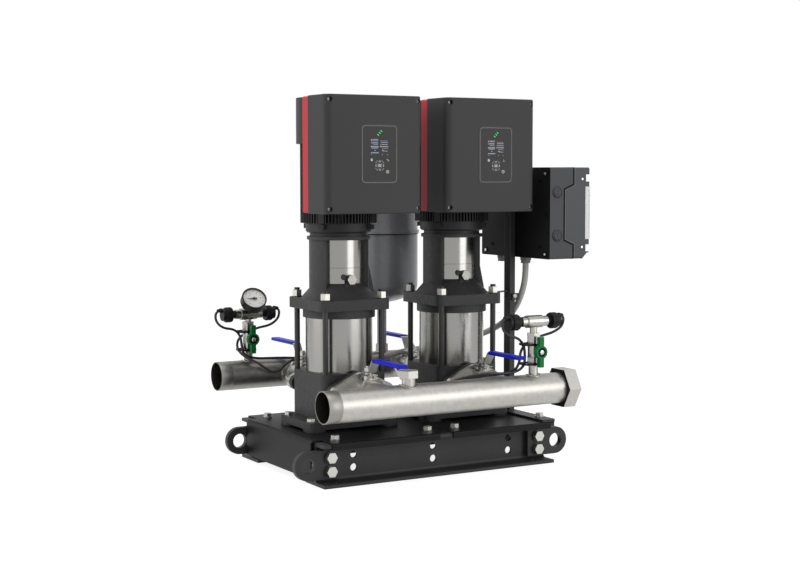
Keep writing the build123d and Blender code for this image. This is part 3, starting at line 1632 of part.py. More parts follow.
export_step(control_box.part, "parts/control_box.step")

# Lid: bevelled below, open pockets for its four screws, tongues in the base's sides, a cut-out and window ears
with BuildPart() as control_lid:
    with BuildSketch(endwise(box_front, box_y, box_z, 1)):
        RectangleRounded(box_width, box_height, box_corner)
    extrude(amount=lid_depth)
    with BuildSketch(endwise(box_front, box_y, box_z, 1)):
        RectangleRounded(box_width - 2 * box_wall, box_height - 2 * box_wall, box_corner - box_wall)
    extrude(amount=lid_depth - box_wall, mode=Mode.SUBTRACT)
    with BuildSketch(Plane.XZ.offset(-box_left)):
        with BuildLine():
            Polyline(
                (lid_front - lid_bevel, box_bottom),
                (lid_front, box_bottom),
                (lid_front, box_bottom + lid_bevel),
                close=True,
            )
        make_face()
    extrude(amount=-box_width, mode=Mode.SUBTRACT)
    with BuildSketch(Plane.XZ.offset(-box_left)):
        with BuildLine():
            Polyline(
                (lid_front - lid_bevel - box_wall, box_bottom),
                (lid_front - lid_bevel, box_bottom),
                (lid_front, box_bottom + lid_bevel),
                (lid_front, box_bottom + lid_bevel + box_wall),
                close=True,
            )
        make_face()
    extrude(amount=-box_width)
    for side, edge in ((-1, box_left), (1, box_right)):
        for z in (box_bottom + lid_bevel + lid_pocket_height / 2 - box_wall, box_top - lid_pocket_inset):
            with BuildSketch(endwise(lid_front, edge - side * (lid_pocket_width + box_wall) / 2, z, 1)):
                Rectangle(lid_pocket_width + box_wall, lid_pocket_height + 2 * box_wall)
            extrude(amount=-lid_pocket_depth - box_wall)
        for z in (box_bottom + lid_bevel + lid_pocket_height / 2 - box_wall, box_top - lid_pocket_inset):
            with BuildSketch(endwise(lid_front, edge - side * lid_pocket_width / 2, z, 1)):
                Rectangle(lid_pocket_width, lid_pocket_height)
            extrude(amount=-lid_pocket_depth, mode=Mode.SUBTRACT)
    with BuildSketch(endwise(lid_front, box_y, breaker_z, 1)):
        Rectangle(breaker_width + 2 * running_gap, breaker_height + 2 * running_gap)
    extrude(amount=-box_wall, mode=Mode.SUBTRACT)
    for side, edge in ((-1, box_left), (1, box_right)):
        with BuildSketch(Plane.XZ.offset(-edge)):
            add(tongue(0))
        extrude(amount=side * (tongue_sheet - running_gap))
    for side, edge in ((-1, window_left), (1, window_right)):
        with BuildSketch(facing(0, edge + side * running_gap, 0, side)):
            with Locations((-side * hinge_x, window_top)):
                Circle(hinge_radius)
            with Locations((-side * (hinge_x + lid_front) / 2, window_top)):
                Rectangle(hinge_x - lid_front, 2 * hinge_radius)
        extrude(amount=hinge_ear)
        with BuildSketch(facing(hinge_x, edge + side * running_gap, window_top, side)):
            Circle(hinge_pin)
        extrude(amount=-hinge_pin_length)
control_lid.part.label = "control_lid"
export_step(control_lid.part, "parts/control_lid.step")

# Clear window flap, hinged along its top edge
with BuildPart() as control_window:
    with BuildSketch(Plane.XZ.offset(-window_left)):
        with Locations((lid_front + running_gap + window_sheet / 2, (window_bottom + window_top) / 2)):
            Rectangle(window_sheet, window_top - window_bottom)
        with Locations((hinge_x, window_top)):
            Circle(hinge_radius - running_gap)
    extrude(amount=window_left - window_right)
    for side, edge in ((-1, window_left), (1, window_right)):
        with BuildSketch(facing(hinge_x, edge, window_top, side)):
            Circle(hinge_pin + journal_gap)
        extrude(amount=-hinge_pin_length, mode=Mode.SUBTRACT)
control_window.part.label = "control_window"
export_step(control_window.part, "parts/control_window.step")

# Glands under the box and blank plugs on its left side
with BuildPart() as cable_glands:
    for y in gland_ys:
        with BuildSketch(Plane.XY.offset(box_bottom)):
            with Locations((gland_x, y)):
                RegularPolygon(gland_flats / 2, 6, major_radius=False)
        extrude(amount=-gland_hexagon)
        with BuildSketch(Plane.XY.offset(box_bottom - gland_hexagon)):
            with Locations((gland_x, y)):
                Circle(gland_nut)
        extrude(amount=-gland_nut_height)
    for z in blank_zs:
        with BuildSketch(facing(blank_x, box_left, z, -1)):
            Circle(blank_radius)
        extrude(amount=blank_height)
cable_glands.part.label = "cable_glands"
export_step(cable_glands.part, "parts/cable_glands.step")


# Cords: straight runs joined by arcs that take the same share of the shorter run at each turn
def cord(name, route, diameter):
    """Round cord along the route, written as its own node."""
    points = [Vector(*point) for point in route]
    runs = [after - before for before, after in zip(points, points[1:])]
    radii = []
    for before, after in zip(runs, runs[1:]):
        half_turn = radians(before.get_angle(after)) / 2
        radii.append(cord_bend_share * min(before.length, after.length) / tan(half_turn))
    with BuildPart() as tube:
        with BuildLine() as path:
            FilletPolyline(*points, radius=radii)
        with BuildSketch(Plane(origin=points[0], z_dir=runs[0])):
            Circle(diameter / 2)
        sweep()
    section = pi * diameter**2 / 4
    length = path.wires()[0].length
    print(name, "length", round(length, 1), "volume over section", round(tube.part.volume / section, 1))
    print("  radii", [round(radius) for radius in radii])
    print("  runs", [round(run.length) for run in runs])
    tube.part.label = name
    export_step(tube.part, "parts/" + name + ".step")


cord("lead_rear_left", rear_left_route, lead_diameter)
cord("lead_rear_right", rear_right_route, lead_diameter)
cord("lead_front_right", front_right_route, lead_diameter)
cord("lead_front_left", front_left_route, lead_diameter)
cord("control_harness", harness_path, harness_diameter)
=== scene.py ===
from math import cos, pi, radians, sin

import bmesh
import bpy
import numpy as np
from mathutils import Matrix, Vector


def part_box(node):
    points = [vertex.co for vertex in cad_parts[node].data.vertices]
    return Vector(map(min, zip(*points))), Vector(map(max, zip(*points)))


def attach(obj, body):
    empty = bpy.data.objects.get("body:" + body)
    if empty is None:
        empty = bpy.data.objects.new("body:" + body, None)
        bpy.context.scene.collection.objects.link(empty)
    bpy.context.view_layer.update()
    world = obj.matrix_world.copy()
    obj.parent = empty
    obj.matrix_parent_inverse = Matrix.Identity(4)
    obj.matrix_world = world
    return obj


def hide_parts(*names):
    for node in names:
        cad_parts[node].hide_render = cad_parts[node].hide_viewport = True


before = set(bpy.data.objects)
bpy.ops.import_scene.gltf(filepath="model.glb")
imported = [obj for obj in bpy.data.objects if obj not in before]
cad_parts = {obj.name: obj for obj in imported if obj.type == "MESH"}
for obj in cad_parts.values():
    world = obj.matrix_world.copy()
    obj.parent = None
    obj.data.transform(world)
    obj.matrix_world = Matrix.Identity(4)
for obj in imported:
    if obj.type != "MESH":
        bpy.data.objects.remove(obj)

bl_info = {
    "name": "Booster pump set",
    "version": (1, 0, 0),
    "blender": (4, 5, 0),
    "location": "View3D > Sidebar > Booster set",
    "description": "Finishes, cords, prints, welds and small fittings of a two pump booster set",
    "category": "Object",
}

X, Y, Z = np.eye(3)

# Places on the part, metres: pump axes, header axes and radii, open header ends, caps, drive covers, tank
PUMPS = (-0.165, 0.165)
HEADER_Y = 0.304
PORT_Z = 0.204
HEADER_R = 0.03805
BORE_R = 0.0368
OPEN_END_X = -0.367
CAP_BACK_X = 0.2857
COVER_Y = -0.190
TANK_FOOT = (0.128, HEADER_Y, 0.0)

# Heights of the stay bolts' nuts, of the small handles' hubs and of the lap across the coupling guards
ROD_NUT = (0.4268, 0.4424)
HUB_Z = 0.2995
GUARD_LAP_Z = 0.501
GLAND_TOP_Z = 0.52

# Small valves on their headers
REAR_VALVE = (-0.276, HEADER_Y)
FRONT_VALVE = (0.212, -HEADER_Y)

# Control box: middle and half size across Y and Z, back face, sides of the lid with the way out, blank plugs
BOX_MIDDLE = np.array([-0.0525, 0.6315])
BOX_HALF_Y, BOX_HALF_Z = 0.1565, 0.1165
BOX_BACK_X = 0.327
LID_SIDES = ((-0.2089, -1), (0.1039, 1))
LID_SCREW_X = 0.4280
PLUG_X = 0.349
PLUG_HEIGHTS = (0.685, 0.575)

# Camera of the photograph and the soft boxes: name, place, width and height, watts
CAMERA = (-1.8867, -3.2864, 0.7324)
CAMERA_TURN, CAMERA_DIP = radians(30.0), radians(4.5)
CAMERA_LENS = 67.2
LAMP_TARGET = Vector((0.0, 0.0, 0.45))
LAMPS = (
    ("left_box", (-3.45, 1.1, 1.5), (2.4, 2.8), 41),
    ("right_box", (1.8, -3.56, 1.2), (2.3, 2.4), 48),
    ("top_box", (-0.4, -0.6, 3.6), (3.0, 2.4), 30),
)

# The dial's own axes: out of its face, to its right and up its face
TURN, TILT = radians(8), radians(40)
DIAL = np.array([-0.276, 0.262, 0.409])
DIAL_OUT = np.array([-sin(TURN) * cos(TILT), -cos(TURN) * cos(TILT), sin(TILT)])
DIAL_RIGHT = np.array([cos(TURN), -sin(TURN), 0.0])
DIAL_UP = np.cross(DIAL_OUT, DIAL_RIGHT)

# Keypad, millimetres to the right of the pump's axis and above the floor: middles of panel and key ring
KEYPAD = (10.1, 778)
KEY_RING = (10.6, 751.1)
LAMP_DOTS = ((6.3, 823.4), (10.6, 828.0), (14.9, 832.4))
# Screen: middle, half length and half height of each value; height, left, right and half height of each line
SCREEN_VALUES = (
    (-1.5, 810.8, 7.5, 0.9), (-3.4, 805.9, 9.4, 1.0), (23.0, 805.9, 9.6, 1.0), (-1.8, 795.9, 9.2, 1.3),
    (24.2, 795.9, 9.6, 1.3), (-1.0, 781.2, 9.0, 1.3), (-3.0, 791.6, 8.6, 0.6),
)
SCREEN_LINES = (
    (812.6, -12.5, 6.5, 0.5), (809.4, 12.6, 32.0, 0.35), (800.9, 12.2, 33.0, 0.7), (800.9, -6.5, 5.5, 0.6),
    (803.2, -12.5, 6.0, 0.35), (791.2, 17.0, 33.0, 0.45), (793.4, -12.5, 7.5, 0.35), (786.8, 16.5, 23.5, 0.8),
    (785.2, 20.0, 31.5, 0.6), (786.8, -4.0, 0.5, 0.8), (777.0, 16.5, 18.5, 0.8), (777.0, 30.5, 32.5, 0.8),
    (777.0, -12.5, -10.5, 0.5),
)
SCREEN_SIGNS = ((-12.0, 810.6), (-12.0, 795.9), (-12.0, 781.2), (12.6, 795.9))
WORD_LENGTHS, WORD_GAP, SHORTEST_WORD = (3.4, 1.9, 4.6, 2.6), 0.8, 0.9
# Bars of the house key and the arrow back, with their turn in degrees, and the middle of the information key
KEY_BARS = (
    (-11.0, 763.5, 2.7, 1.9), (-12.2, 766.5, 2.2, 1.0, 42), (-9.8, 766.5, 2.2, 1.0, -42),
    (31.4, 765.2, 3.4, 1.5, -35), (33.6, 763.4, 1.9, 1.9), (29.9, 766.0, 1.6, 1.6),
)
INFORMATION_KEY = (32.0, 736.8)

# Cord routes, millimetres: start on the sensor or the sleeve, end in the sleeve or the gland
REAR_LEFT = [
    (-350, 304, 376), (-367, 304, 376), (-370, 302, 350), (-350, 300, 330),
    (-317, 300, 326), (-300, 300, 308), (-297, 299, 282), (-296, 290, 257),
    (-264, 284, 247), (-216, 282, 246), (-168, 278, 244), (-120, 270, 240),
    (-74, 259, 235.5), (-28, 255.3, 233.3), (18, 255.3, 233.3),
]
REAR_RIGHT = [
    (-202, 304, 376), (-185, 304, 376), (-184, 309, 349), (-205, 316, 330),
    (-238, 324, 324), (-268, 329, 314), (-298, 322, 297), (-308, 306, 274),
    (-300, 280, 255), (-266, 263, 238), (-236, 256, 213), (-211, 255, 211),
    (-194, 255, 229), (-166, 256, 243), (-122, 254, 237), (-75, 251, 229),
    (-28, 255.3, 226.7), (18, 255.3, 226.7),
]
FRONT_RIGHT = [
    (286, -304, 384), (303, -304, 384), (303, -300, 357), (280, -294, 341),
    (248, -286, 333), (216, -281, 323), (188, -283, 301), (183, -288, 272),
    (171, -284, 249.5), (128, -281, 244.5), (80, -278, 244), (37, -256, 232),
    (6, -214, 210), (-10, -156, 194), (-18, -92, 187), (-25, -22, 185),
    (-34, 50, 189), (-44, 118, 199), (-51, 182, 214), (-46, 228, 225),
    (-16, 248.7, 226.7), (18, 248.7, 226.7),
]
FRONT_LEFT = [
    (138, -304, 384), (121, -304, 384), (121, -303, 357), (140, -301, 340),
    (170, -301, 333), (187, -300, 314), (191, -299, 288), (189, -298, 262),
    (166, -295, 248.5), (124, -290, 247.5), (82, -287, 251), (33, -263, 240),
    (-2, -216, 218), (-18, -156, 202), (-26, -90, 195), (-33, -20, 193),
    (-42, 52, 197), (-52, 118, 207), (-59, 186, 222), (-50, 232, 231.5),
    (-16, 248.7, 233.3), (18, 248.7, 233.3),
]
HARNESS = [
    (18, 252, 230), (90, 252, 230), (162, 247, 245), (230, 234, 252),
    (284, 184, 266), (317, 122, 289), (337, 60, 314), (344, 2, 346),
    (346, -40, 388), (347, -64, 430), (348, -73, 468), (348, -73, 499),
]


def linear(colour):
    """Linear colour of an sRGB hex value. A linear colour stays as it is."""
    if not isinstance(colour, str):
        return tuple(colour)
    parts = [int(colour[i:i + 2], 16) / 255 for i in (1, 3, 5)]
    return tuple(p / 12.92 if p <= 0.04045 else ((p + 0.055) / 1.055) ** 2.4 for p in parts) + (1.0,)


def per_metre(millimetres):
    """Pattern scale that gives features of this size on coordinates in metres."""
    return 1000 / millimetres


class BoosterSizes(bpy.types.PropertyGroup):
    lead: bpy.props.FloatProperty(
        name="Sensor lead", description="Diameter of the sensor leads", default=0.0066, unit="LENGTH")
    harness: bpy.props.FloatProperty(
        name="Harness", description="Diameter of the grey harness", default=0.016, unit="LENGTH")
    bead: bpy.props.FloatProperty(
        name="Weld bead", description="Half width of the weld beads", default=0.0022, unit="LENGTH")
    tie: bpy.props.FloatProperty(
        name="Tie width", description="Width of the cable ties", default=0.0048, unit="LENGTH")
    pipe_end: bpy.props.FloatProperty(
        name="Pipe end", description="Length turned down at the open pipe ends", default=0.034,
        unit="LENGTH")
    seam: bpy.props.FloatProperty(
        name="Lid seam", description="Width of the dark seam round the control box", default=0.0050,
        unit="LENGTH")
    print_height: bpy.props.FloatProperty(
        name="Print", description="Thickness of printed marks", default=0.00012, unit="LENGTH")


class BoosterColours(bpy.types.PropertyGroup):
    cover: bpy.props.FloatVectorProperty(
        name="Drive cover", description="Grey of the drive covers", size=4, subtype="COLOR",
        default=linear("#434344"))
    shell: bpy.props.FloatVectorProperty(
        name="Drive shell", description="Red of the shells behind the covers", size=4, subtype="COLOR",
        default=linear("#DC424D"))
    casting: bpy.props.FloatVectorProperty(
        name="Castings", description="Black of the pump castings", size=4, subtype="COLOR",
        default=linear("#202021"))
    base: bpy.props.FloatVectorProperty(
        name="Base", description="Black of the base frame", size=4, subtype="COLOR",
        default=linear("#343435"))
    grip: bpy.props.FloatVectorProperty(
        name="Lever grips", description="Blue of the dipped grips", size=4, subtype="COLOR",
        default=linear("#0F1AD2"))
    handle: bpy.props.FloatVectorProperty(
        name="Small handles", description="Green of the butterfly handles", size=4, subtype="COLOR",
        default=linear("#117A3C"))
    tank: bpy.props.FloatVectorProperty(
        name="Tank", description="Grey of the diaphragm tank", size=4, subtype="COLOR",
        default=linear("#909296"))


def add(tree, kind, inputs=(), **fields):
    """Adds a node with its settings. Inputs are values, outputs, or nodes that give their first output."""
    made = tree.nodes.new("ShaderNode" + kind)
    for field, value in fields.items():
        setattr(made, field, value)
    for socket, value in dict(inputs).items():
        if isinstance(value, bpy.types.Node):
            value = value.outputs[0]
        if isinstance(value, bpy.types.NodeSocket):
            tree.links.new(value, made.inputs[socket])
        else:
            made.inputs[socket].default_value = value
    return made


def blank(name, *patterns):
    """Node material, its tree and the object coordinates, then a noise for each pattern: its grain in
    millimetres, its detail and, where it isn't the usual one, its roughness."""
    made = bpy.data.materials.new(name)
    made.use_nodes = True
    tree = made.node_tree
    tree.nodes.clear()
    where = add(tree, "TexCoord").outputs["Object"]
    noises = []
    for grain, *rest in patterns:
        settings = dict(zip(("Detail", "Roughness"), rest))
        noises.append(add(tree, "TexNoise", {"Vector": where, "Scale": per_metre(grain), **settings}))
    return made, tree, where, *noises


def shade(made, inputs):
    """The material, with a Principled shader of these sockets joined to its output."""
    tree = made.node_tree
    add(tree, "OutputMaterial", {"Surface": add(tree, "BsdfPrincipled", inputs)})
    return made


def spread(tree, fac, low, high, a, b):
    """Colour between a and b as a pattern goes from low to high."""
    made = add(tree, "ValToRGB", {"Fac": fac})
    for element, position, colour in zip(made.color_ramp.elements, (low, high), (a, b)):
        element.position, element.color = position, colour
    return made


def between(tree, value, low, high):
    """1 where a value lies between two limits, 0 elsewhere."""
    above = add(tree, "Math", {0: value, 1: low}, operation="GREATER_THAN")
    below = add(tree, "Math", {0: value, 1: high}, operation="LESS_THAN")
    return add(tree, "Math", {0: above, 1: below}, operation="MULTIPLY")


def shift(colour, share):
    """The same colour as a linear one, lighter or darker by a share."""
    return tuple(min(1.0, part * (1 + share)) for part in linear(colour)[:3]) + (1.0,)


def grained(name, colour, grain, detail, relief, depth, edge, uneven, sockets):
    """Finish with one pattern of this grain in millimetres: a bump of this strength and depth in metres, and
    a colour that goes from darker to lighter by the uneven share between the pattern's edge and 1 - edge."""
    made, tree, where, skin = blank(name, (grain, detail))
    bump = add(tree, "Bump", {"Height": skin, "Strength": relief, "Distance": depth})
    tint = spread(tree, skin, edge, 1 - edge, shift(colour, -uneven), shift(colour, uneven))
    return shade(made, {"Base Color": tint, "Normal": bump, **sockets})


def powder_coat(name, colour, roughness=0.5, gloss=0.3):
    """Epoxy powder coat on steel: satin, with the orange peel of melted powder, 3 mm apart."""
    made, tree, where, peel, cloud = blank(name, (3.0, 2.0), (60.0, 3.0))
    bump = add(tree, "Bump", {"Height": peel, "Strength": 0.12, "Distance": 0.0004})
    tint = spread(tree, cloud, 0.3, 0.7, shift(colour, -0.12), shift(colour, 0.12))
    return shade(made, {"Base Color": tint, "Roughness": roughness, "Normal": bump,
                        "Specular IOR Level": gloss})


def cast_skin(name, colour, roughness=0.5):
    """Grey iron from a sand mould under a black dip coat: 1.2 mm sand grain, with dull and bare patches."""
    made, tree, where, grain, lump = blank(name, (1.2, 3.0, 0.6), (9.0, 2.0))
    both = add(tree, "Math", {0: grain, 1: lump}, operation="ADD")
    bump = add(tree, "Bump", {"Height": both, "Strength": 0.75, "Distance": 0.0015})
    tint = spread(tree, lump, 0.3, 0.72, shift(colour, -0.25), shift(colour, 0.3))
    rough = add(tree, "MapRange", {"Value": lump, "From Min": 0.3, "From Max": 0.7,
                                   "To Min": roughness - 0.06, "To Max": roughness + 0.1})
    return shade(made, {"Base Color": tint, "Roughness": rough, "Normal": bump})


def pickled_stainless(name, dull, bright):
    """Welded stainless tube, pickled and blasted: matt grey metal with 14 mm clouds and a 1.6 mm blast
    grain, and painted shade in the headers' bores, a dull brown grey."""
    made, tree, where, cloud, grain = blank(name, (14.0, 6.0, 0.72), (1.6, 3.0))
    bump = add(tree, "Bump", {"Height": grain, "Strength": 0.3, "Distance": 0.0004})
    skin = spread(tree, cloud, 0.3, 0.72, linear(dull), linear(bright))
    # Painted shade: nearer the header axis than BORE_R the colour turns a dull brown grey
    parts = add(tree, "SeparateXYZ", {"Vector": where})
    away = add(tree, "Math", {0: parts.outputs["Y"]}, operation="ABSOLUTE")
    section = add(tree, "CombineXYZ", {"Y": away, "Z": parts.outputs["Z"]})
    depth = add(tree, "VectorMath", {0: section, 1: (0.0, HEADER_Y, PORT_Z)}, operation="DISTANCE")
    bore = add(tree, "Math", {0: depth.outputs["Value"], 1: BORE_R}, operation="LESS_THAN")
    tint = add(tree, "Mix", {0: bore, 6: skin, 7: linear("#57554F")}, data_type="RGBA").outputs[2]
    rough = add(tree, "MapRange", {"Value": cloud, "From Min": 0.3, "From Max": 0.7,
                                   "To Min": 0.37, "To Max": 0.46})
    return shade(made, {"Base Color": tint, "Metallic": 1.0, "Roughness": rough, "Normal": bump})


def rolled_stainless(name, colour="#93928F", roughness=0.2):
    """Cold rolled stainless sheet, bright: smooth, with faint rolling lines round it 1.5 mm apart."""
    made, tree, where = blank(name)
    flat = add(tree, "Mapping", {"Vector": where, "Scale": (6.0, 6.0, per_metre(1.5))})
    lines = add(tree, "TexNoise", {"Vector": flat, "Scale": 1.0, "Detail": 3.0})
    bump = add(tree, "Bump", {"Height": lines, "Strength": 0.014, "Distance": 0.0002})
    rough = add(tree, "MapRange", {"Value": lines, "From Min": 0.3, "From Max": 0.7,
                                   "To Min": roughness - 0.02, "To Max": roughness + 0.03})
    return shade(made, {"Base Color": linear(colour), "Metallic": 1.0, "Roughness": rough, "Normal": bump})


def plating(name, colour, roughness, uneven=0.12):
    """Electroplated, turned or machined metal: even, with a 4 mm waviness in its gloss and colour."""
    return grained(name, colour, 4.0, 3.0, uneven, 0.0003, 0.3, uneven,
                   {"Metallic": 1.0, "Roughness": roughness})


def moulded(name, colour, grain=0.9, roughness=0.48, strength=0.1):
    """Injection moulded plastic: spark eroded grain of this size in millimetres, even colour."""
    return grained(name, colour, grain, 2.0, strength, 0.0003, 0.25, 0.05,
                   {"Roughness": roughness, "Specular IOR Level": 0.2})


def sprayed(name, colour):
    """Wet paint on a drawn steel shell: smooth satin gloss with a faint 12 mm drawing waviness."""
    return grained(name, colour, 12.0, 2.0, 0.05, 0.0006, 0.3, 0.05,
                   {"Roughness": 0.34, "Coat Weight": 0.2, "Coat Roughness": 0.15})


def dipped_vinyl(name, colour):
    """Soft PVC dipped over the lever end: smooth and slightly shiny with slow runs 20 mm long."""
    return grained(name, colour, 20.0, 1.0, 0.2, 0.0008, 0.3, 0.1,
                   {"Roughness": 0.42, "Specular IOR Level": 0.2})


def sheath(name, colour, roughness):
    """Extruded PVC cable sheath: even and half matt, with the faint lay of the cores showing every 7 mm."""
    return grained(name, colour, 7.0, 2.0, 0.15, 0.0005, 0.3, 0.08, {"Roughness": roughness})


def black_rod(name, colour, nut_low, nut_high):
    """Black coated stay bolt with a zinc plated nut, the part between these two heights."""
    made, tree, where, wave = blank(name, (4.0, 3.0))
    nut = between(tree, add(tree, "SeparateXYZ", {"Vector": where}).outputs["Z"], nut_low, nut_high)
    tint = spread(tree, nut, 0.4, 0.6, linear(colour), linear("#B4B2AC"))
    rough = add(tree, "MapRange", {"Value": wave, "To Min": 0.28, "To Max": 0.42})
    return shade(made, {"Base Color": tint, "Metallic": nut, "Roughness": rough})


def washer_bolt(name, low, high):
    """Zinc plated bolt on a black coated washer, the part between these distances from the middle plane."""
    made, tree, where, wave = blank(name, (4.0, 3.0))
    side = add(tree, "SeparateXYZ", {"Vector": where}).outputs["Y"]
    washer = between(tree, add(tree, "Math", {0: side}, operation="ABSOLUTE"), low, high)
    zinc = add(tree, "Math", {0: 1.0, 1: washer}, operation="SUBTRACT")
    tint = spread(tree, washer, 0.4, 0.6, linear("#B5B4AF"), linear("#131314"))
    rough = add(tree, "MapRange", {"Value": wave, "To Min": 0.28, "To Max": 0.42})
    return shade(made, {"Base Color": tint, "Metallic": zinc, "Roughness": rough})


def two_tone(name, colour, other, edge, axis):
    """Moulded plastic in two colours, or in one colour with a painted shade on one side, 1.1 mm spark grain: the
    first beyond this place along an axis.
    """
    made, tree, where, skin = blank(name, (1.1, 2.0))
    depth = add(tree, "SeparateXYZ", {"Vector": where}).outputs[axis]
    front = add(tree, "Math", {0: depth, 1: edge}, operation="GREATER_THAN")
    bump = add(tree, "Bump", {"Height": skin, "Strength": 0.1, "Distance": 0.0003})
    tint = spread(tree, front, 0.4, 0.6, linear(other), linear(colour))
    rough = add(tree, "MapRange", {"Value": skin, "To Min": 0.42, "To Max": 0.5})
    return shade(made, {"Base Color": tint, "Roughness": rough, "Normal": bump, "Specular IOR Level": 0.2})


def clear_sheet(name, colour, alpha, roughness):
    """Clear polycarbonate or glass: see-through with a bright gloss and a haze in 25 mm clouds."""
    made, tree, where, haze = blank(name, (25.0, 2.0))
    rough = add(tree, "MapRange", {"Value": haze, "To Min": roughness, "To Max": roughness + 0.04})
    shade(made, {"Base Color": linear(colour), "Alpha": alpha, "Roughness": rough, "IOR": 1.55})
    made.surface_render_method = "BLENDED"
    return made


def ink(name, colour, glow=0.0):
    """Printed or lit mark: screen ink with a fine 0.6 mm mottling; the glow is a display's light on the screen
    and painted light on the dial face.
    """
    made, tree, where, mottle = blank(name, (0.6, 1.0))
    tint = spread(tree, mottle, 0.2, 0.8, shift(colour, -0.06), linear(colour))
    return shade(made, {"Base Color": tint, "Roughness": 0.5, "Emission Color": linear(colour),
                        "Emission Strength": glow})


def grid_faces(rows, columns, wrap_rows, wrap_columns):
    """Four-cornered faces of a grid of points, closed round either way where it wraps."""
    i = np.arange(rows if wrap_rows else rows - 1)[:, None]
    j = np.arange(columns if wrap_columns else columns - 1)[None, :]
    after_i, after_j = (i + 1) % rows, (j + 1) % columns
    corners = (i * columns + j, after_i * columns + j, after_i * columns + after_j, i * columns + after_j)
    return np.stack(corners, -1).reshape(-1, 4)


def placed(name, data):
    """Object of this mesh, curve, lamp or camera, in the scene."""
    made = bpy.data.objects.new(name, data)
    bpy.context.scene.collection.objects.link(made)
    return made


def piece(name, surfaces, finish, body="frame", crease=35.0):
    """One object of several grids of points, each (points, wraps by row, wraps by column): doubles merged,
    faces turned outwards, smooth up to the crease angle, on its body and in its slot."""
    points, faces, start = [], [], 0
    for surface, wrap_rows, wrap_columns in surfaces:
        rows, columns = surface.shape[:2]
        faces.append(grid_faces(rows, columns, wrap_rows, wrap_columns) + start)
        points.append(surface.reshape(-1, 3))
        start += rows * columns
    mesh = bpy.data.meshes.new(name)
    mesh.from_pydata(np.concatenate(points).tolist(), [], np.concatenate(faces).tolist())
    shell = bmesh.new()
    shell.from_mesh(mesh)
    bmesh.ops.remove_doubles(shell, verts=shell.verts, dist=1e-7)
    bmesh.ops.recalc_face_normals(shell, faces=shell.faces)
    shell.to_mesh(mesh)
    shell.free()
    mesh.shade_smooth()
    mesh.set_sharp_from_angle(angle=radians(crease))
    mesh.materials.append(finish)
    made = placed(name, mesh)
    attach(made, body)
    return made


def across(axis):
    """Two directions square to an axis and to each other."""
    first = np.cross(axis, X if abs(axis[0]) < 0.9 else Y)
    first = first / np.linalg.norm(first)
    return first, np.cross(axis, first)


def spokes(t, first, second):
    """Directions at these angles from the first towards the second: cos t * first + sin t * second."""
    return np.cos(t)[:, None] * first + np.sin(t)[:, None] * second


def turned(profile, place, axis, steps=40):
    """Profile of (radius, height) pairs turned about an axis:
    place + height * axis + radius * (cos t, sin t)."""
    radius, height = np.array(profile, float).T
    ring = spokes(np.linspace(0, 2 * pi, steps, endpoint=False), *across(np.asarray(axis, float)))
    points = np.asarray(place) + height[:, None, None] * axis + radius[:, None, None] * ring[None]
    return points, False, True


def rounded(half_x, half_y, corner, steps=6):
    """Outline of a rounded rectangle, anticlockwise: each corner's centre plus its radius at angle t."""
    index = np.arange(4 * (steps + 1))
    quarter = index // (steps + 1)
    t = (quarter + (index % (steps + 1)) / steps) * pi / 2
    sign_x = np.where((quarter == 0) | (quarter == 3), 1, -1)
    sign_y = np.where(quarter < 2, 1, -1)
    return np.stack([sign_x * (half_x - corner) + corner * np.cos(t),
                     sign_y * (half_y - corner) + corner * np.sin(t)], -1)


def lofted(outlines, heights, place, right, up, closed=False):
    """Outlines joined one after the other: place + x * right + y * up + height * (right cross up)."""
    out = np.cross(right, up)
    flat = np.array(outlines)
    rise = np.array(heights)[:, None, None] * out
    points = np.asarray(place) + flat[..., 0:1] * right + flat[..., 1:2] * up + rise
    return points, closed, True


def plate(outline, thickness, place, right, up):
    """Flat plate with this outline, closed at the middle of both faces."""
    outlines = [outline * 0, outline, outline, outline * 0]
    return lofted(outlines, [0, 0, thickness, thickness], place, right, up)


def band(outer, inner, thickness, place, right, up):
    """Flat ring between two outlines with as many points each."""
    return lofted([inner, outer, outer, inner], [0, 0, thickness, thickness], place, right, up, closed=True)


def circle(radius, steps=32):
    """Outline of a circle: radius * (cos t, sin t)."""
    t = np.linspace(0, 2 * pi, steps, endpoint=False)
    return radius * np.stack([np.cos(t), np.sin(t)], -1)


def saddle(place, out, branch, header, bead, steps=96):
    """Weld bead where a branch meets a header along X: a small circle carried along the curve
    place + r cos t * X + r sin t * side + sqrt(R^2 - r^2 sin^2 t) * out, rippled along its way."""
    side = np.cross(out, X)
    t = np.linspace(0, 2 * pi, steps, endpoint=False)[:, None, None]
    p = np.linspace(0, 2 * pi, 10, endpoint=False)[None, :, None]
    spoke = np.cos(t) * X + np.sin(t) * side
    path = np.asarray(place) + branch * spoke + np.sqrt(header**2 - (branch * np.sin(t))**2) * out
    size = bead * (1 + 0.14 * np.sin(t * 24))
    return path + size * (np.cos(p) * spoke + np.sin(p) * out), True, True


def cord_curve(name, route, diameter, finish):
    """Smooth NURBS cord over the CAD cord of the same name: its control points are the route, in millimetres."""
    route = [tuple(part / 1000 for part in place) for place in route]
    curve = bpy.data.curves.new(name + "_run", "CURVE")
    curve.dimensions = "3D"
    curve.bevel_depth = diameter / 2
    curve.bevel_resolution = 4
    curve.use_fill_caps = True
    curve.resolution_u = 10
    spline = curve.splines.new("NURBS")
    spline.points.add(len(route) - 1)
    for point, place in zip(spline.points, route):
        point.co = (*place, 1.0)
    spline.order_u = 3
    spline.use_endpoint_u = True
    curve.materials.append(finish)
    made = placed(name + "_run", curve)
    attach(made, "frame")
    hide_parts(name)
    return made


def keypad_place(x, dx, z, lift=0.00005):
    """Place on the cover of the pump at x: millimetres to the right of its axis and above the floor."""
    return np.array([x + dx / 1000, COVER_Y - lift, z / 1000])


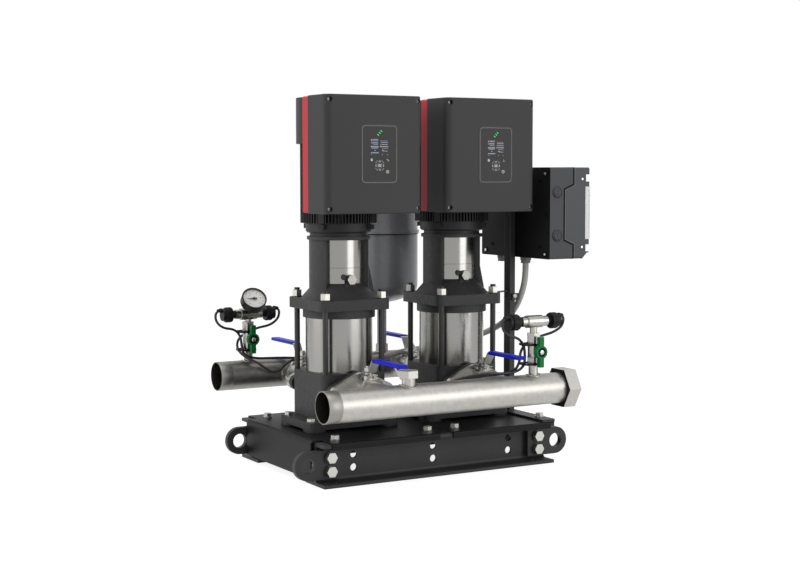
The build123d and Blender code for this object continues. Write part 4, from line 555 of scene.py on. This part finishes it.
def keypad_bars(x, thickness, rows):
    """Rounded bars on a keypad, each with its middle, half length, half height and turn in degrees."""
    bars = []
    for dx, z, half, half_height, *tilt in rows:
        turn = radians(tilt[0] if tilt else 0.0)
        right = cos(turn) * X + sin(turn) * Z
        outline = rounded(half / 1000, half_height / 1000, min(half, half_height) / 1500, 3)
        place = keypad_place(x, dx, z, 0.0002)
        bars.append(plate(outline, thickness, place, right, np.cross(-Y, right)))
    return bars


def words(z, left, right, half_height):
    """Rows of bars that stand for the words of one line, between its left and its right end."""
    rows, reached = [], left
    for word in range(12):
        stop = min(reached + WORD_LENGTHS[word % 4], right)
        if stop - reached < SHORTEST_WORD:
            break
        rows.append(((reached + stop) / 2, z, (stop - reached) / 2, half_height))
        reached = stop + WORD_GAP
    return rows


def lid_strip(first, last, lifts):
    """Strip round the control box between two distances along X from the lid's edge, its walls lifted by the
    first to the second lift. It follows the box's rounded section across Y and Z and steps back along X
    between the breaks, where the lid's tongue reaches over: the corners of the step by 2/3 as much."""
    breaks, edge_x = np.array([0.703, 0.691, 0.565, 0.553]), [0.403, 0.374, 0.374, 0.403]
    shifts = np.array([1, 1, -1, -1]) * 0.67
    rows = []
    for lift, along in ((lifts[0], first), (lifts[1], first), (lifts[1], last), (lifts[0], last)):
        half_y, half_z = BOX_HALF_Y + lift, BOX_HALF_Z + lift
        section = rounded(half_y, half_z, 0.006 + lift, 6) + BOX_MIDDLE
        left = np.stack([np.full(4, BOX_MIDDLE[0] - half_y), breaks], -1)
        right = np.stack([np.full(4, BOX_MIDDLE[0] + half_y), breaks[::-1]], -1)
        loop = np.concatenate([section[:14], left, section[14:], right])
        x = np.interp(loop[:, 1], breaks[::-1], edge_x) + along
        loop[14:18, 1] -= along * shifts
        loop[32:36, 1] -= along * shifts[::-1]
        rows.append(np.column_stack([x, loop]))
    return np.stack(rows), True, True


def seen_directly(tree):
    """1 for what is seen straight, in a reflection or through glass, 0 for the light that falls on it."""
    ray = add(tree, "LightPath").outputs
    seen = add(tree, "Math", {0: ray["Is Camera Ray"], 1: ray["Is Glossy Ray"]}, operation="ADD")
    return add(tree, "Math", {0: seen, 1: ray["Is Transmission Ray"]}, operation="ADD", use_clamp=True)


class BOOSTER_OT_stage(bpy.types.Operator):
    """Pale floor, soft lamps, world and the camera of the photograph"""
    bl_idname = "booster.stage"
    bl_label = "Stage"

    def execute(self, context):
        scene = context.scene
        scene.view_settings.view_transform = "Standard"
        # The floor shows pale but lights nothing: it glows only for the camera, reflections and glass
        floor, tree, _ = blank("studio_floor")
        glow = add(tree, "Emission", {"Color": (1, 1, 1, 1), "Strength": 0.86})
        none = add(tree, "Emission", {"Color": (0, 0, 0, 1), "Strength": 0.0})
        lit = add(tree, "MixShader", {0: seen_directly(tree), 1: none, 2: glow})
        matt = add(tree, "BsdfDiffuse", {"Color": (0.36, 0.36, 0.36, 1)})
        add(tree, "OutputMaterial", {"Surface": add(tree, "AddShader", {0: matt, 1: lit})})
        x, y = np.meshgrid(np.linspace(-30, 30, 9), np.linspace(-30, 30, 9), indexing="ij")
        ground = np.stack([x, y, np.full_like(x, -0.0005)], -1)
        mesh = bpy.data.meshes.new("studio_floor")
        mesh.from_pydata(ground.reshape(-1, 3).tolist(), [], grid_faces(9, 9, False, False).tolist())
        mesh.materials.append(floor)
        placed("studio_floor", mesh)

        world = scene.world = bpy.data.worlds.new("studio")
        world.use_nodes = True
        tree = world.node_tree
        tree.nodes.clear()
        soft = add(tree, "Background", {"Color": (1, 1, 1, 1), "Strength": 0.42})
        white = add(tree, "Background", {"Color": (1, 1, 1, 1), "Strength": 1.0})
        mix = add(tree, "MixShader", {0: seen_directly(tree), 1: soft, 2: white})
        add(tree, "OutputWorld", {"Surface": mix})

        for name, place, size, power in LAMPS:
            lamp = bpy.data.lights.new(name, "AREA")
            lamp.shape = "RECTANGLE"
            lamp.size, lamp.size_y = size
            lamp.energy = power
            holder = placed(name, lamp)
            holder.location = place
            holder.rotation_euler = (LAMP_TARGET - Vector(place)).to_track_quat("-Z", "Y").to_euler()

        lens = bpy.data.cameras.new("photograph")
        lens.sensor_width = 36.0
        lens.lens = CAMERA_LENS
        camera = scene.camera = placed("photograph", lens)
        camera.location = CAMERA
        level = Vector((sin(CAMERA_TURN), cos(CAMERA_TURN), 0.0)) * cos(CAMERA_DIP)
        ahead = level + Vector((0.0, 0.0, -sin(CAMERA_DIP)))
        camera.rotation_euler = ahead.to_track_quat("-Z", "Y").to_euler()
        return {"FINISHED"}


class BOOSTER_OT_finishes(bpy.types.Operator):
    """Material of every CAD node"""
    bl_idname = "booster.finishes"
    bl_label = "Finishes of the CAD nodes"

    def execute(self, context):
        colours = context.scene.booster_colours
        base = powder_coat("powder_coated_steel", colours.base)
        casting = cast_skin("dip_coated_cast_iron", colours.casting)
        motor = powder_coat("painted_aluminium", "#262627", 0.5)
        trays = powder_coat("powder_coated_tray", "#131314", 0.42, 0.14)
        tube = pickled_stainless("pickled_stainless_tube", "#A6A49F", "#BCBAB4")
        # Painted shade: the discharge header takes a darker copy of the same pickled tube finish
        dull_tube = pickled_stainless("stainless_tube_painted_shade", "#85837E", "#9A9893")
        hexagon = plating("machined_stainless_cap", "#B3B1AC", 0.4, 0.06)
        plug = plating("brushed_nickel_plug", "#8C8A86", 0.4, 0.08)
        sheet = rolled_stainless("bright_stainless_sheet")
        zinc = plating("zinc_plated_steel", "#B5B4AF", 0.34)
        nickel = plating("nickel_plated_brass", "#ACAAA5", 0.26)
        ground = plating("ground_steel", "#A9A8A5", 0.28)
        cover = moulded("drive_cover_polycarbonate", colours.cover, 0.9, 0.55)
        shell = moulded("painted_red_shell", colours.shell, 1.2, 0.42, 0.05)
        # The box's back is painted near black as painted shade, its glands are pale below it, while its blank
        # plugs are grey
        box = two_tone("control_box_abs_painted_shade_back", "#505153", "#161617", BOX_BACK_X + 0.0005, "X")
        lid = moulded("control_lid_abs", "#58595B", 1.1, 0.42)
        gland = two_tone("grey_polyamide_gland", "#505153", "#9A9B97", GLAND_TOP_Z, "Z")
        bolt_end = float(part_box("lug_bolts")[1][1])
        lug_bolts = washer_bolt("zinc_bolt_on_black_washer", bolt_end - 0.0140, bolt_end - 0.0099)
        black = moulded("black_polyamide", "#1D1D1E", 0.8, 0.45)
        green = moulded("green_polyamide", colours.handle, 1.0, 0.35, 0.05)
        rods = black_rod("coated_stay_bolt", "#1B1B1C", *ROD_NUT)
        finishes = {
            base: ["base_beams", "lifting_lugs", "control_post"],
            trays: ["base_trays"],
            plug: ["vent_plugs"],
            lug_bolts: ["lug_bolts"],
            gland: ["cable_glands"],
            hexagon: ["manifold_caps"],
            dull_tube: ["discharge_manifold"],
            casting: ["pump_casings", "pump_heads"],
            motor: ["motor_housings", "fan_cowls"],
            tube: ["suction_manifold"],
            sheet: ["pump_sleeves", "coupling_guards", "chamber_stacks", "impellers_1", "impellers_2",
                    "shaft_seals"],
            zinc: ["port_flanges", "hex_bolts", "suction_lever_1", "suction_lever_2", "discharge_lever_1",
                   "discharge_lever_2"],
            nickel: ["valve_bodies", "check_valves", "sensor_valves", "sensor_tees",
                     "suction_stem_1", "suction_stem_2", "discharge_stem_1", "discharge_stem_2"],
            ground: ["shaft_1", "shaft_2", "coupling_1", "coupling_2"],
            cover: ["drive_covers", "display_panels"],
            shell: ["drive_shells"],
            box: ["control_box"],
            lid: ["control_lid"],
            black: ["pressure_sensors", "gauge_case", "gauge_pointer"],
            green: ["butterfly_handle_1", "butterfly_handle_2"],
            rods: ["stay_bolts"],
            sprayed("satin_tank_paint", colours.tank): ["diaphragm_tank"],
            dipped_vinyl("blue_dipped_vinyl", colours.grip): [
                "suction_grip_1", "suction_grip_2", "discharge_grip_1", "discharge_grip_2"],
            clear_sheet("clear_polycarbonate", "#E6E9EA", 0.3, 0.04): ["control_window"],
        }
        for finish, names in finishes.items():
            for name in names:
                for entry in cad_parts[name].material_slots:
                    entry.material = finish
        return {"FINISHED"}


class BOOSTER_OT_cords(bpy.types.Operator):
    """Sensor leads, the harness and the sleeve that joins them"""
    bl_idname = "booster.cords"
    bl_label = "Cords"

    def execute(self, context):
        sizes = context.scene.booster_sizes
        dark = sheath("black_pvc_sheath", "#1F1F20", 0.42)
        grey = sheath("grey_pvc_sheath", "#C9C9C5", 0.5)
        cord_curve("lead_rear_left", REAR_LEFT, sizes.lead, dark)
        cord_curve("lead_rear_right", REAR_RIGHT, sizes.lead, dark)
        cord_curve("lead_front_right", FRONT_RIGHT, sizes.lead, dark)
        cord_curve("lead_front_left", FRONT_LEFT, sizes.lead, dark)
        cord_curve("control_harness", HARNESS, sizes.harness, grey)
        boot = moulded("heat_shrink_sleeve", "#191919", 1.5, 0.4)
        profile = [(0.0066, 0.0), (0.0086, 0.001), (0.0092, 0.012), (0.0092, 0.020), (0.0084, 0.034),
                   (0.0081, 0.036)]
        piece("harness_sleeve", [turned(profile, (0.0, 0.252, 0.230), X)], boot)
        return {"FINISHED"}


class BOOSTER_OT_sensor_fittings(bpy.types.Operator):
    """Ribbed rings and lead collars of the sensors, and the ties that hold the leads to the small valves"""
    bl_idname = "booster.sensor_fittings"
    bl_label = "Sensor fittings and ties"

    def execute(self, context):
        tie = context.scene.booster_sizes.tie
        black = moulded("ribbed_black_polyamide", "#1A1A1B", 0.8, 0.42)
        strap = moulded("black_nylon_tie", "#151516", 0.7, 0.38, 0.05)
        ribs = 24
        t = np.linspace(0, 2 * pi, ribs * 6, endpoint=False)
        rib = 0.0194 + 0.0006 * np.clip(2 * np.cos(ribs * t), -1, 1)
        radius = np.stack([rib * 0.93, rib, rib, rib * 0.93])
        height = np.array([0.0485, 0.0500, 0.0640, 0.0655])
        boss = [(0.0062, 0.0), (0.0062, 0.004), (0.0046, 0.010), (0.0036, 0.014)]
        collars = []
        for valve, tee_z in ((REAR_VALVE, 0.364), (FRONT_VALVE, 0.372)):
            place = np.array([*valve, tee_z])
            for axis in (-X, X):
                ring = spokes(t, *across(axis))
                points = place + height[:, None, None] * axis + radius[..., None] * ring[None]
                collars.append((points, False, True))
                collars.append(turned(boss, place + axis * 0.0735 + Z * 0.012, axis))
        piece("sensor_rings", collars, black)

        # Ties: valve, height, half size along Y, and the loop's middle off the valve's axis
        half_x, ties = 0.024, []
        for (x, y), z, half_y, dx, dy in (
            (REAR_VALVE, 0.316, 0.021, -0.008, -0.001), (REAR_VALVE, 0.268, 0.022, -0.006, 0.0),
            (FRONT_VALVE, 0.314, 0.021, -0.008, 0.003), (FRONT_VALVE, 0.266, 0.021, -0.007, 0.003),
        ):
            outer, inner = rounded(half_x, half_y, 0.012), rounded(half_x - 0.0013, half_y - 0.0013, 0.0107)
            place = np.array([x + dx, y + dy, z])
            ties.append(band(outer, inner, tie, place, X, Y))
            lock = place + np.array([-half_x - 0.003, -0.006, tie / 2])
            ties.append(plate(rounded(0.0035, 0.0035, 0.0008), 0.006, lock, Y, Z))
        piece("lead_ties", ties, strap)
        return {"FINISHED"}


class BOOSTER_OT_dial(bpy.types.Operator):
    """Dial face with a painted glow, scale, figures and glass of the pressure gauge"""
    bl_idname = "booster.dial"
    bl_label = "Gauge dial"

    def execute(self, context):
        thin = context.scene.booster_sizes.print_height
        # Painted light: the dial face glows a little though nothing lights it
        face = ink("dial_enamel_painted_glow", "#FAF9F6", 0.12)
        mark = ink("dial_print", "#1C1C1C")
        depth = DIAL - DIAL_OUT * 0.0049
        disc = plate(circle(0.0293, 64), 0.0003, depth, DIAL_RIGHT, DIAL_UP)
        piece("dial_face", [disc], face)

        # The scale goes 270 degrees clockwise from lower left, in 40 steps with every fourth one long
        above = depth + DIAL_OUT * 0.00035
        strokes = []
        for step in range(41):
            angle = radians(225 - 270 * step / 40)
            right = DIAL_RIGHT * cos(angle) + DIAL_UP * sin(angle)
            long, wide = (0.0011, 0.00016) if step % 4 else (0.0024, 0.0003)
            outline, place = rounded(long, wide, 0.00015, 2), above + right * (0.0262 - long)
            strokes.append(plate(outline, thin, place, right, np.cross(DIAL_OUT, right)))
        piece("dial_scale", strokes, mark)
        for figure in range(0, 11, 2):
            angle = radians(225 - 27 * figure)
            text = bpy.data.curves.new("figure", "FONT")
            text.body = str(figure)
            text.size = 0.0052
            text.extrude = thin
            text.align_x = text.align_y = "CENTER"
            holder = placed("figure", text)
            mesh = bpy.data.meshes.new_from_object(holder.evaluated_get(context.evaluated_depsgraph_get()))
            bpy.data.objects.remove(holder)
            flat = np.empty(len(mesh.vertices) * 3)
            mesh.vertices.foreach_get("co", flat)
            flat = flat.reshape(-1, 3)
            centre = above + 0.0185 * (cos(angle) * DIAL_RIGHT + sin(angle) * DIAL_UP)
            upright = centre + flat[:, :1] * DIAL_RIGHT + flat[:, 1:2] * DIAL_UP + flat[:, 2:] * DIAL_OUT
            mesh.vertices.foreach_set("co", upright.ravel())
            mesh.materials.clear()
            mesh.materials.append(mark)
            made = placed(f"dial_figure_{figure}", mesh)
            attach(made, "frame")
        glass = clear_sheet("gauge_glass", "#FFFFFF", 0.04, 0.02)
        lens = [(0.0, -0.0012), (0.0292, -0.0012), (0.0292, -0.0002), (0.0, -0.0002)]
        piece("dial_glass", [turned(lens, DIAL, DIAL_OUT, 64)], glass)
        rim = [(0.0296, -0.004), (0.0296, 0.0), (0.0302, 0.0006), (0.0318, 0.0006), (0.0326, 0.0)]
        bezel = moulded("gauge_bezel_plastic", "#19191A", 0.9, 0.3)
        piece("dial_bezel", [turned(rim, DIAL, DIAL_OUT, 64)], bezel)
        return {"FINISHED"}


class BOOSTER_OT_keypads(bpy.types.Operator):
    """Printed and lit marks of the keypads: frame line, painted shade of the groove, lamp, screen, keys and the
    ring of arrows
    """
    bl_idname = "booster.keypads"
    bl_label = "Keypads"

    def execute(self, context):
        thin = context.scene.booster_sizes.print_height
        line = ink("keypad_frame_line", "#938D86")
        groove = ink("keypad_painted_groove_shade", "#050505")
        lamp = ink("running_lamp", "#3FD873", 0.8)
        value = ink("screen_values", "#98A5C4", 0.08)
        text = ink("screen_text", "#CFC8BC", 0.08)
        icon = ink("key_print", "#E4E2DC")
        arc = ink("key_ring_print", "#8A8A88")
        for number, x in enumerate(PUMPS, 1):
            parts = []
            middle = keypad_place(x, *KEYPAD)
            edge, inner = rounded(0.0466, 0.0670, 0.0080), rounded(0.0456, 0.0660, 0.0070)
            parts.append(("line", line, [band(edge, inner, thin, middle, X, Z)]))
            # Painted shade: a near black ring outside the frame line for the groove round the panel
            rim, step = rounded(0.0500, 0.0704, 0.0113), rounded(0.0467, 0.0671, 0.0081)
            above = keypad_place(x, *KEYPAD, 0.0001)
            parts.append(("groove", groove, [band(rim, step, thin, above, X, Z)]))
            dots = [(dx, z, 2.4, 0.9, -42) for dx, z in LAMP_DOTS]
            parts.append(("lamp", lamp, keypad_bars(x, thin, dots)))
            parts.append(("values", value, keypad_bars(x, thin, SCREEN_VALUES)))
            rows = [row for screen_line in SCREEN_LINES for row in words(*screen_line)]
            rows += [(*sign, 1.3, 1.3) for sign in SCREEN_SIGNS]
            parts.append(("text", text, keypad_bars(x, thin, rows)))

            # Four arcs and a ring round the middle key, each arc radius * (cos t, sin t) over 42 degrees
            centre, arcs = keypad_place(x, *KEY_RING), []
            radius = np.array([0.0114, 0.0134, 0.0134, 0.0114])[:, None, None]
            depth = np.array([0.0, 0.0, thin, thin])[:, None, None] * -Y
            for quarter in range(4):
                t = np.radians(np.linspace(24, 66, 12) + 90 * quarter)
                arcs.append((centre + radius * spokes(t, X, Z)[None] + depth, True, False))
            arcs.append(band(circle(0.0072, 40), circle(0.0062, 40), thin, centre, X, Z))
            parts.append(("ring", arc, arcs))

            # Middle key, four arrows of two bars each, 11.4 mm away from it, then the other keys
            outer, inner = rounded(0.0042, 0.0030, 0.0022), rounded(0.0026, 0.0014, 0.0010)
            keys = [band(outer, inner, thin, keypad_place(x, *KEY_RING, 0.0002), X, Z)]
            rows = [(*KEY_RING, 1.1, 1.1)]
            for angle in (0, 90, 180, 270):
                dx = KEY_RING[0] + 11.4 * cos(radians(angle))
                z = KEY_RING[1] + 11.4 * sin(radians(angle))
                for lean in (-45, 45):
                    back = radians(angle + 180 + lean)
                    rows.append((dx + 1.5 * cos(back), z + 1.5 * sin(back), 1.9, 0.75, angle + lean))
            keys += keypad_bars(x, thin, (*rows, *KEY_BARS))
            information = keypad_place(x, *INFORMATION_KEY)
            keys.append(band(circle(0.0041), circle(0.0029), thin, information, X, Z))
            keys += keypad_bars(x, thin, [(*INFORMATION_KEY, 0.7, 1.7)])
            parts.append(("keys", icon, keys))
            for part, finish, surfaces in parts:
                piece(f"keypad_{part}_{number}", surfaces, finish)
        return {"FINISHED"}


class BOOSTER_OT_cover_screws(bpy.types.Operator):
    """Screws deep in the four bores of each drive cover"""
    bl_idname = "booster.cover_screws"
    bl_label = "Cover screws"

    def execute(self, context):
        steel = plating("blackened_screw", "#6E6E70", 0.35)
        lobes = np.linspace(0, 2 * pi, 48, endpoint=False)
        star = (0.0017 + 0.00032 * np.cos(6 * lobes))[:, None] * circle(1, 48)
        head, crown = circle(0.0046, 48), circle(0.0038, 48)
        outlines = [head, head, crown, star, star * 0.95, star * 0]
        heights = [0.0, 0.0024, 0.0034, 0.0036, 0.0014, 0.0012]
        seat_y = -0.1768
        for number, x in enumerate(PUMPS, 1):
            screws = [lofted(outlines, heights, (x + dx, seat_y, z), X, Z)
                      for dx in (-0.119, 0.119) for z in (0.649, 0.905)]
            piece(f"cover_screws_{number}", screws, steel)
        return {"FINISHED"}


class BOOSTER_OT_box_trim(bpy.types.Operator):
    """Control box seam, painted highlight on the lid edge, screws, bosses, painted shade in wells, plug rims
    with painted shadow lines, window strip as a painted highlight, and the clip screw
    """
    bl_idname = "booster.box_trim"
    bl_label = "Control box trim"

    def execute(self, context):
        width = context.scene.booster_sizes.seam
        rubber = moulded("black_seam_and_painted_shade", "#060606", 0.8, 0.7)
        steel = plating("bright_lid_screw", "#E2E1DC", 0.42, 0.06)
        grey = moulded("blank_plug_abs", "#505153", 1.0, 0.5)
        piece("lid_seam", [lid_strip(-width, 0.0, (-0.0004, 0.0003))], rubber)
        # Painted highlight: a pale strip along the lid's edge beside the seam
        edge = moulded("painted_lid_edge_highlight", "#8B8C8E", 1.1, 0.35)
        piece("lid_edge_painted_highlight", [lid_strip(0.0001, 0.0012, (-0.0003, 0.0004))], edge)

        # Lid screws in front, wall screws in the back, flat screws in the sides of the lid
        walls = [(y, z) for y in (-0.189, 0.084) for z in (0.5275, 0.732)]
        sides = [((LID_SCREW_X, y, z), way * Y) for y, way in LID_SIDES for z in (0.5445, 0.7185)]
        head = [(0.0, 0.0030), (0.0026, 0.0029), (0.0040, 0.0022), (0.0040, 0.0), (0.0, 0.0)]
        flat = [(0.0, 0.0012), (0.0026, 0.0011), (0.0034, 0.0006), (0.0034, 0.0), (0.0, 0.0)]
        screws = [turned(head, (0.438, y, z), X) for y in (-0.2015, 0.0965) for z in (0.5425, 0.7205)]
        screws += [turned(head, (BOX_BACK_X - 0.0002, y, z), -X) for y, z in walls]
        screws += [turned(flat, place, out) for place, out in sides]
        piece("box_screws", screws, steel)

        # Bosses in the back wall with their radius, four of them round its screws, and painted shade in the side
        # screws' wells
        bosses, rings = [], [(y, z, 0.0072) for y, z in walls] + [(-0.196, 0.630, 0.0085)]
        rings += [(y, z, 0.0045) for y, z in ((-0.165, 0.714), (-0.165, 0.545), (0.052, 0.545), (0.052, 0.714))]
        for y, z, r in rings:
            rim = [(r * 0.62, 0.0004), (r * 0.62, 0.0016), (r, 0.0016), (r, 0.0004)]
            bosses.append(turned(rim, (BOX_BACK_X, y, z), -X))
        # Painted shade: near black rings for the side screws' wells
        well = [(0.0035, 0.0), (0.0035, 0.0005), (0.0052, 0.0005), (0.0052, 0.0)]
        bosses += [turned(well, place, out) for place, out in sides]
        piece("box_bosses", bosses, rubber)

        # Blank plugs in the left side: raised collar and slot, and painted shadow lines round the collar, disc
        # and pins
        cone = [(0.0110, 0.0001), (0.0142, 0.0001), (0.0140, 0.0006), (0.0113, 0.0038), (0.0110, 0.0039)]
        collars, lines = [], []
        for z in PLUG_HEIGHTS:
            wall, face = (PLUG_X, -0.2089, z), (PLUG_X, -0.2130, z)
            collars.append(turned(cone, (PLUG_X, -0.209, z), -Y, 64))
            collars.append(plate(rounded(0.0008, 0.0055, 0.0004), 0.0004, face, X, Z))
            lines.append(band(circle(0.0151, 64), circle(0.0143, 64), 0.0004, wall, X, Z))
            lines.append(band(circle(0.0106, 64), circle(0.0098, 64), 0.0002, face, X, Z))
            lines += [band(circle(0.0026), circle(0.0020), 0.0002, face + dz * Z, X, Z)
                      for dz in (-0.0036, 0.0036)]
        piece("blank_plug_collars", collars, grey)
        piece("blank_plug_painted_shadow_lines", lines, rubber)

        # The window's left edge runs on round the lid's corner: a front leg, a side leg and two ribs on it, near
        # opaque white as a painted highlight
        clear = clear_sheet("window_lip_painted_highlight", "#FFFFFF", 0.9, 0.2)
        lips = [plate(rounded(0.0116, 0.0625, 0.0008), 0.0008, (0.4504, -0.1981, 0.6275), Y, Z),
                plate(rounded(0.0069, 0.067, 0.0008), 0.0006, (0.4443, -0.2091, 0.632), X, Z)]
        lips += [plate(rounded(0.0005, 0.066, 0.0004), 0.0012, (x, -0.2091, 0.632), X, Z)
                 for x in (0.4400, 0.4474)]
        piece("window_lip", lips, clear, "window")

        hexagon, crown = np.repeat(circle(0.0066, 6), 4, axis=0), circle(0.0052, 24)
        screw = lofted([hexagon, hexagon, crown, crown * 0], [0, 0.0028, 0.0036, 0.0036],
                       (0.321, -0.062, 0.413), X, Z)
        piece("clip_screw", [screw], plating("clip_screw_steel", "#8C8B88", 0.35))
        return {"FINISHED"}


class BOOSTER_OT_guard_seams(bpy.types.Operator):
    """Lap line across each coupling guard"""
    bl_idname = "booster.guard_seams"
    bl_label = "Guard seams"

    def execute(self, context):
        dark = ink("lap_shadow", "#2A2A2A")
        t = np.radians(np.linspace(-55, 55, 60))
        radius = np.array([0.06135, 0.06168, 0.06168, 0.06135])[:, None, None]
        height = (GUARD_LAP_Z + np.array([0.0, 0.0, 0.0012, 0.0012]))[:, None, None] * Z
        lines = []
        for x in PUMPS:
            for side in (-1, 1):
                lines.append((x * X + radius * spokes(t, side * Y, X)[None] + height, True, False))
        piece("guard_seams", lines, dark)
        return {"FINISHED"}


class BOOSTER_OT_handle_hubs(bpy.types.Operator):
    """Dark wells and steel nuts in the hubs of the two small handles"""
    bl_idname = "booster.handle_hubs"
    bl_label = "Handle hubs"

    def execute(self, context):
        steel = plating("hub_nut_steel", "#B4B2AD", 0.26)
        dark = moulded("hub_well_shadow", "#0B2114", 0.9, 0.6)
        lining = [(0.0066, 0.0001), (0.0108, 0.0001), (0.0108, 0.0058), (0.0105, 0.0058), (0.0105, 0.0003)]
        hexagon, crown = np.repeat(circle(0.0066, 6), 5, axis=0), circle(0.0054, 30)
        outlines = [hexagon, hexagon, crown, crown * 0.4, crown * 0]
        heights = [0.0001, 0.0086, 0.0094, 0.0098, 0.0098]
        for number, (x, y) in enumerate((REAR_VALVE, FRONT_VALVE), 1):
            place, body = (x, y - 0.0291, HUB_Z), f"butterfly_{number}"
            piece(f"hub_well_{number}", [turned(lining, place, -Y, 48)], dark, body)
            nut = lofted(outlines, heights, place, X, Z)
            piece(f"hub_nut_{number}", [nut], steel, body)
        return {"FINISHED"}


class BOOSTER_OT_welds(bpy.types.Operator):
    """Weld beads where branches and stubs meet the headers"""
    bl_idname = "booster.welds"
    bl_label = "Weld beads"

    def execute(self, context):
        bead = context.scene.booster_sizes.bead
        seam = plating("stainless_weld_bead", "#A9A59C", 0.33)
        for name, side, stubs in (
            ("suction_welds", -1, ((FRONT_VALVE[0], 0.017), (-0.142, 0.021))),
            ("discharge_welds", 1, ((REAR_VALVE[0], 0.017), (TANK_FOOT[0], 0.017))),
        ):
            y = side * HEADER_Y
            beads = [saddle((x, y, PORT_Z), -side * Y, 0.030, HEADER_R, bead) for x in PUMPS]
            beads += [saddle((x, y, PORT_Z), Z, r, HEADER_R, bead * 0.8) for x, r in stubs]
            piece(name, beads, seam)
        return {"FINISHED"}


class BOOSTER_OT_pipe_ends(bpy.types.Operator):
    """Bare turned faces of the stepped open ends of both headers"""
    bl_idname = "booster.pipe_ends"
    bl_label = "Pipe ends"

    def execute(self, context):
        length = context.scene.booster_sizes.pipe_end
        cut = plating("turned_stainless", "#918F8B", 0.45, 0.03)
        skin = HEADER_R - 0.0004
        proud = skin + 0.00025
        profile = [(skin, 0.0002), (proud, 0.0007), (proud, length - 0.0012), (skin, length - 0.0008)]
        for name, side in (("suction_end", -1), ("discharge_end", 1)):
            place = (OPEN_END_X, side * HEADER_Y, PORT_Z)
            piece(name, [turned(profile, place, X, 96)], cut, crease=60.0)
        return {"FINISHED"}


class BOOSTER_OT_tank_seam(bpy.types.Operator):
    """Painted highlight on the crest of the tank's lapped seam and painted shadow in the gap under it"""
    bl_idname = "booster.tank_seam"
    bl_label = "Tank seam"

    def execute(self, context):
        paint = sprayed("tank_seam_painted_highlight", "#B4B6B9")
        shadow = moulded("tank_seam_painted_shadow", "#1B1C1D", 0.9, 0.6)
        # Painted highlight: a lighter ring of paint on the seam's crest
        crest = [(0.0990, 0.5781), (0.1027, 0.5781), (0.1029, 0.5776), (0.1029, 0.5768), (0.0990, 0.5768)]
        piece("tank_seam", [turned(crest, TANK_FOOT, Z, 128)], paint)
        # Painted shadow: a near black ring in the gap under the seam
        gap = [(0.0988, 0.5668), (0.0994, 0.5668), (0.1012, 0.5698), (0.0988, 0.5698)]
        piece("tank_seam_painted_shadow", [turned(gap, TANK_FOOT, Z, 128)], shadow)
        return {"FINISHED"}


class BOOSTER_OT_cap_seals(bpy.types.Operator):
    """Painted shade: flat near black rings behind the hexagon end caps"""
    bl_idname = "booster.cap_seals"
    bl_label = "Painted cap shades"

    def execute(self, context):
        seal = moulded("black_cap_painted_shade", "#0B0B0B", 0.9, 0.6)
        # Painted shade: a near black hexagon ring on the caps' back faces, which face away from the light
        outline = np.roll(np.repeat(circle(0.0523, 6), 8, axis=0), -4, axis=0)
        hole = circle(0.0383, 48)
        seals = [band(outline, hole, 0.0004, (CAP_BACK_X, y, PORT_Z), Y, Z)
                 for y in (-HEADER_Y, HEADER_Y)]
        piece("cap_painted_shades", seals, seal)
        return {"FINISHED"}


class BOOSTER_PT_panel(bpy.types.Panel):
    """Pieces of the booster set"""
    bl_idname = "BOOSTER_PT_panel"
    bl_label = "Booster set"
    bl_space_type = "VIEW_3D"
    bl_region_type = "UI"
    bl_category = "Booster set"

    def draw(self, context):
        for group in (context.scene.booster_sizes, context.scene.booster_colours):
            for name in group.bl_rna.properties.keys():
                if name not in ("rna_type", "name"):
                    self.layout.prop(group, name)
        for operator in OPERATORS:
            self.layout.operator(operator.bl_idname)


OPERATORS = (
    BOOSTER_OT_stage, BOOSTER_OT_finishes, BOOSTER_OT_cords, BOOSTER_OT_sensor_fittings, BOOSTER_OT_dial,
    BOOSTER_OT_keypads, BOOSTER_OT_cover_screws, BOOSTER_OT_box_trim, BOOSTER_OT_guard_seams,
    BOOSTER_OT_handle_hubs, BOOSTER_OT_welds, BOOSTER_OT_pipe_ends, BOOSTER_OT_tank_seam,
    BOOSTER_OT_cap_seals,
)


def register():
    for kind in (BoosterSizes, BoosterColours, *OPERATORS, BOOSTER_PT_panel):
        bpy.utils.register_class(kind)
    bpy.types.Scene.booster_sizes = bpy.props.PointerProperty(type=BoosterSizes)
    bpy.types.Scene.booster_colours = bpy.props.PointerProperty(type=BoosterColours)


def unregister():
    del bpy.types.Scene.booster_colours
    del bpy.types.Scene.booster_sizes
    for kind in (BOOSTER_PT_panel, *reversed(OPERATORS), BoosterColours, BoosterSizes):
        bpy.utils.unregister_class(kind)


def main():
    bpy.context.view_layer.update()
    register()
    for operator in OPERATORS:
        group, name = operator.bl_idname.split(".")
        getattr(getattr(bpy.ops, group), name)()


if __name__ == "__main__":
    main()
